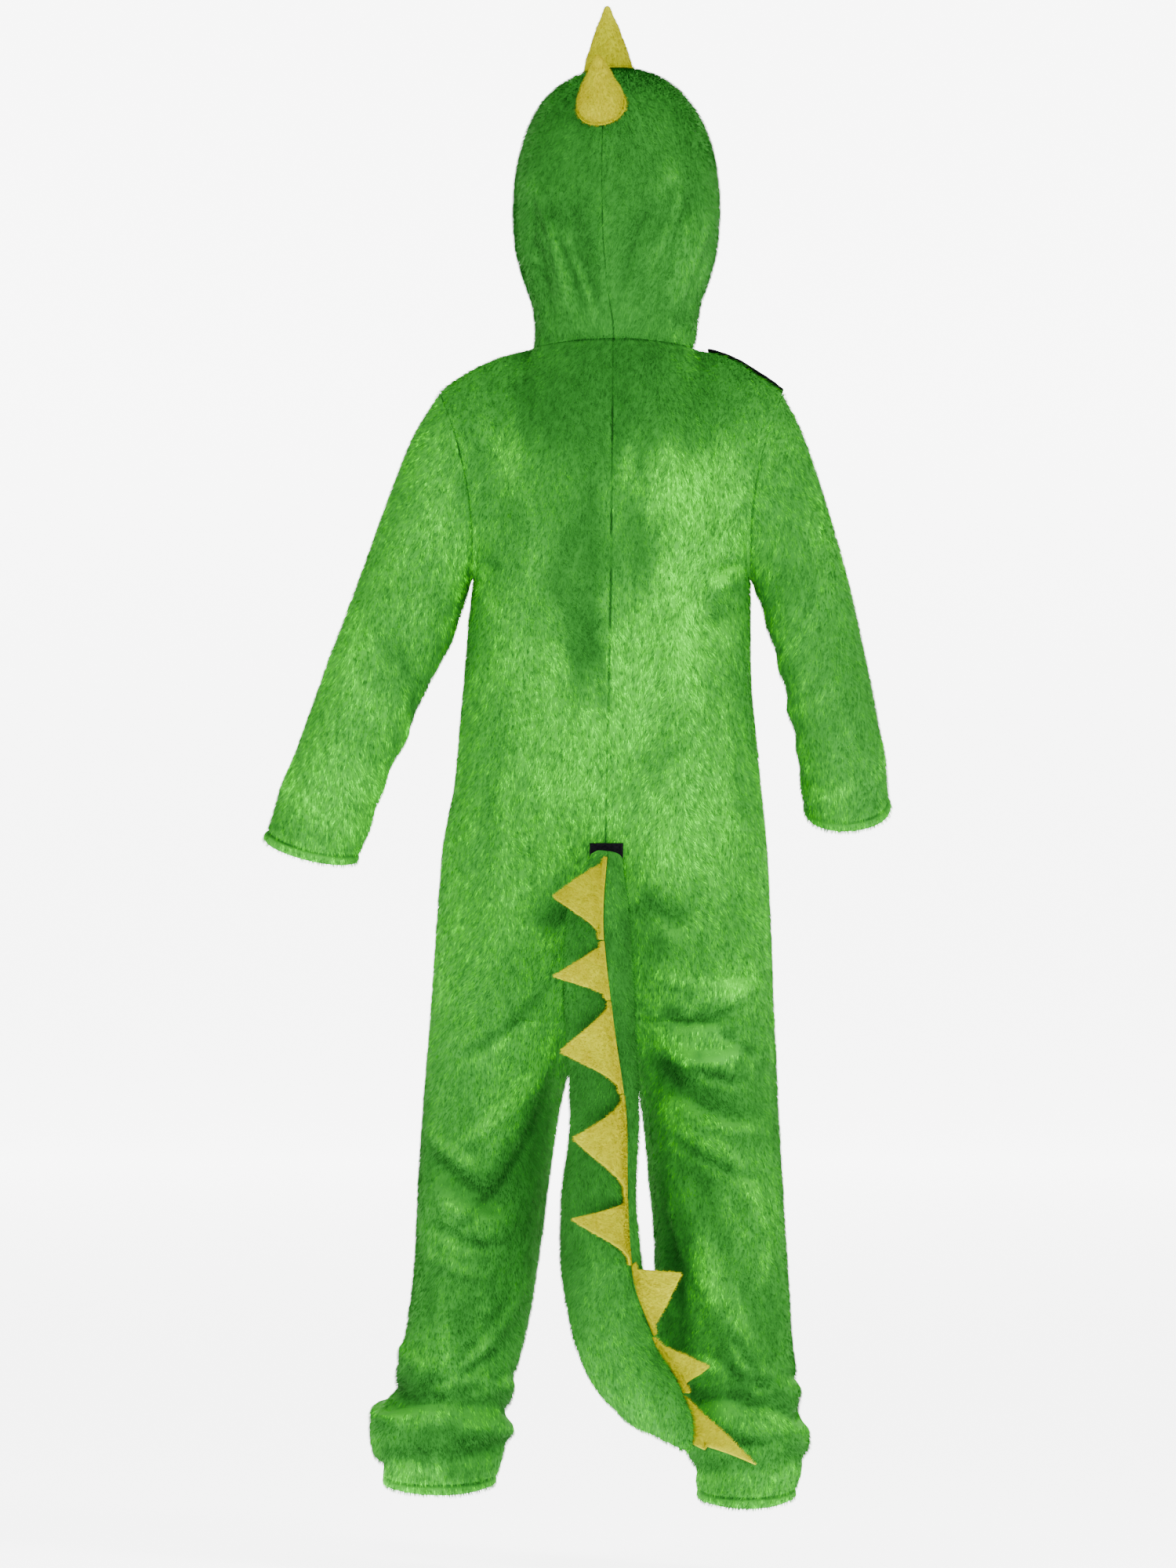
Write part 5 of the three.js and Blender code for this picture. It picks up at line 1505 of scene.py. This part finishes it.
def placket(name, seed):
    """The strip over the centre-front seam, made from the front panels' own points and moved out."""
    turns = spaced(40, SEAM_STEPS, OPEN, 4)[::-1]
    turns = PLACKET["reach"] * (1 - turns)
    turns = np.concatenate([-turns[:0:-1], turns])
    downs = PLACKET["top"] + (1 - PLACKET["top"]) * np.linspace(0, 1, 36)[:-1]
    heights = np.linspace(UNDERARM_Z, PLACKET["bottom"], 54)
    halves = []
    for side, chosen in ((RIGHT, -turns[turns < 0]), (LEFT, turns[turns >= 0])):
        points, inward = body_surface(side, -1, chosen, downs, heights)
        relief, _ = body_relief(side, points)
        halves.append(points - inward * relief[..., None])
    points = np.concatenate(halves, axis=1)
    inward = grid_normals(points, (0, 0, -300))
    edge = from_edges(points)
    stitches = 0.8 * np.exp(-(((edge - 6) / 1.2) ** 2))
    outer = points - inward * (PLACKET_GAP + PLUSH)
    drop = seam_drop(edge, points) * 0.5 + stitches
    placed = outer + inward * (PILE + drop)[..., None]
    # Random tone with painted sheen and shade, and painted highlight and shade at the edges and stitches
    shade = nap_tone_and_painted_light(placed, -1) + edge_painted_light(drop)
    # The cloth under the strands gets a painted shade
    made = wall(name, placed, inward, SHELL - 0.2, [GREEN, KNIT], nap=backing_painted_shade(shade))
    hand_in(name, made)
    fur = pile(f"{name}_pile", placed, -inward, DOWN, STRAND, GREEN, seed, shade)
    width, length, area = flat_sizes(name, placed)


def tape(name, outer, inward, material):
    left, right, _, _ = distances(outer)
    drop = 0.5 * (1 - spike_edge(from_edges(outer) * 2))
    ribs = 0.12 * np.cos(np.minimum(left, right) * 2)
    placed = outer + inward * (drop + ribs + 0.15)[..., None]
    made = wall(name, placed, inward, TAPE - 0.3 - drop, [material, material])
    hand_in(name, made)
    width, length, area = flat_sizes(name, outer)
    area = min(area, width * length)


def seat_tape(name, size, material):
    half = size["half_width"]
    x = size["x"] + half * (2 * spaced(2 * half, TAPE_EDGE, TAPE_EDGE, 2) - 1)
    z = size["top"] + (size["bottom"] - size["top"]) * spaced(40, TAPE_EDGE, TAPE_EDGE, 2)
    back = TRUNK.at(z)["back"]
    points = xyz(x[None, :], (back + size["gap"] + TAPE)[:, None], z[:, None])
    tape(name, points, np.broadcast_to(-Y, points.shape), material)


def shoulder_tape():
    along = spaced(72, np.array([0, 1]), np.array([0, 1]), 4)
    turns = SHOULDER_TAPE["from"] + (1 - SHOULDER_TAPE["from"]) * along
    edge = np.array([0, 0.5, 1.5])
    downs = SHOULDER_TAPE["top"] + SHOULDER_TAPE["depth"] * spaced(24, edge, edge, 3)
    points = yoke_point(RIGHT, -1, turns[None, :], downs[:, None])
    inward = grid_normals(points, (-75, 0, -500))
    relief, _ = body_relief(RIGHT, points)
    over = across_line(points[0], Y, -Z)
    inward = lean_to(inward, over[None], distances(points)[2])
    outer = points - inward * (relief + LYING_GAP + TAPE)[..., None]
    tape("shoulder_tape", outer, inward, BLACK)


placket("front_placket", 402)
seat_tape("tail_tape_body", SEAT_TAPE, BLACK)
seat_tape("tail_tape_hook", HOOK_TAPE, HOOKS)
shoulder_tape()


# Floor, light and camera, in metres

FLOOR_Z = -1.102
BACKDROP = {"near": 13, "bend": 1.5, "height": 9, "half_width": 14}
CAMERA = {"x": 0.0185, "z": -0.387, "distance": 12.0, "view_height": 1.42}


def backdrop():
    """A pale floor that curves up into a wall behind the costume."""
    wall_y, bend, half = -BACKDROP["near"], BACKDROP["bend"], BACKDROP["half_width"]
    profile = [(half, 0), (wall_y, 0)]
    for angle in np.linspace(0.15, math.pi / 2, 10):
        profile.append((wall_y - bend * math.sin(angle), bend * (1 - math.cos(angle))))
    profile.append((wall_y - bend, BACKDROP["height"]))
    points = np.array([[x, y, FLOOR_Z + z] for y, z in profile for x in (-half, half)]) / MM
    faces = [[2 * i, 2 * i + 1, 2 * i + 3, 2 * i + 2] for i in range(len(profile) - 1)]
    white = Surface("backdrop_white", 0.9)
    white.colour(linear(246, 246, 246))
    white.shader.inputs["Emission Color"].default_value = (1, 1, 1, 1)
    white.shader.inputs["Emission Strength"].default_value = 5.0
    mesh_object("backdrop", points, faces, [white.material])


def area_light(name, place, aim, size, power):
    light = bpy.data.lights.new(name, "AREA")
    light.shape, light.size, light.energy = "DISK", size, power
    made = bpy.data.objects.new(name, light)
    made.location = place
    made.rotation_euler = (Vector(aim) - Vector(place)).to_track_quat("-Z", "Y").to_euler()
    bpy.context.scene.collection.objects.link(made)


backdrop()
MIDDLE = (0, 0, -0.35)
area_light("key", (-2.1, 2.8, 2.3), MIDDLE, 0.8, 180)
area_light("fill", (2.6, 2.9, 0.8), MIDDLE, 1.6, 62)
area_light("top", (0, 0.6, 2.6), MIDDLE, 1.2, 60)

world = bpy.data.worlds.new("studio")
world.use_nodes = True
world.node_tree.nodes["Background"].inputs["Color"].default_value = (1, 1, 1, 1)
world.node_tree.nodes["Background"].inputs["Strength"].default_value = 0.4
bpy.context.scene.world = world

camera = bpy.data.objects.new("camera", bpy.data.cameras.new("camera"))
camera.location = (CAMERA["x"], CAMERA["distance"], CAMERA["z"])
camera.rotation_euler = (math.radians(90), 0, math.radians(180))
camera.data.sensor_fit = "VERTICAL"
camera.data.sensor_height = 24
camera.data.lens = camera.data.sensor_height * CAMERA["distance"] / CAMERA["view_height"]
bpy.context.scene.collection.objects.link(camera)
bpy.context.scene.camera = camera

for name, (width, length, area) in CUT.items():
    print(f"cut {name}: {width} x {length} mm, {area / 100:.0f} cm2")
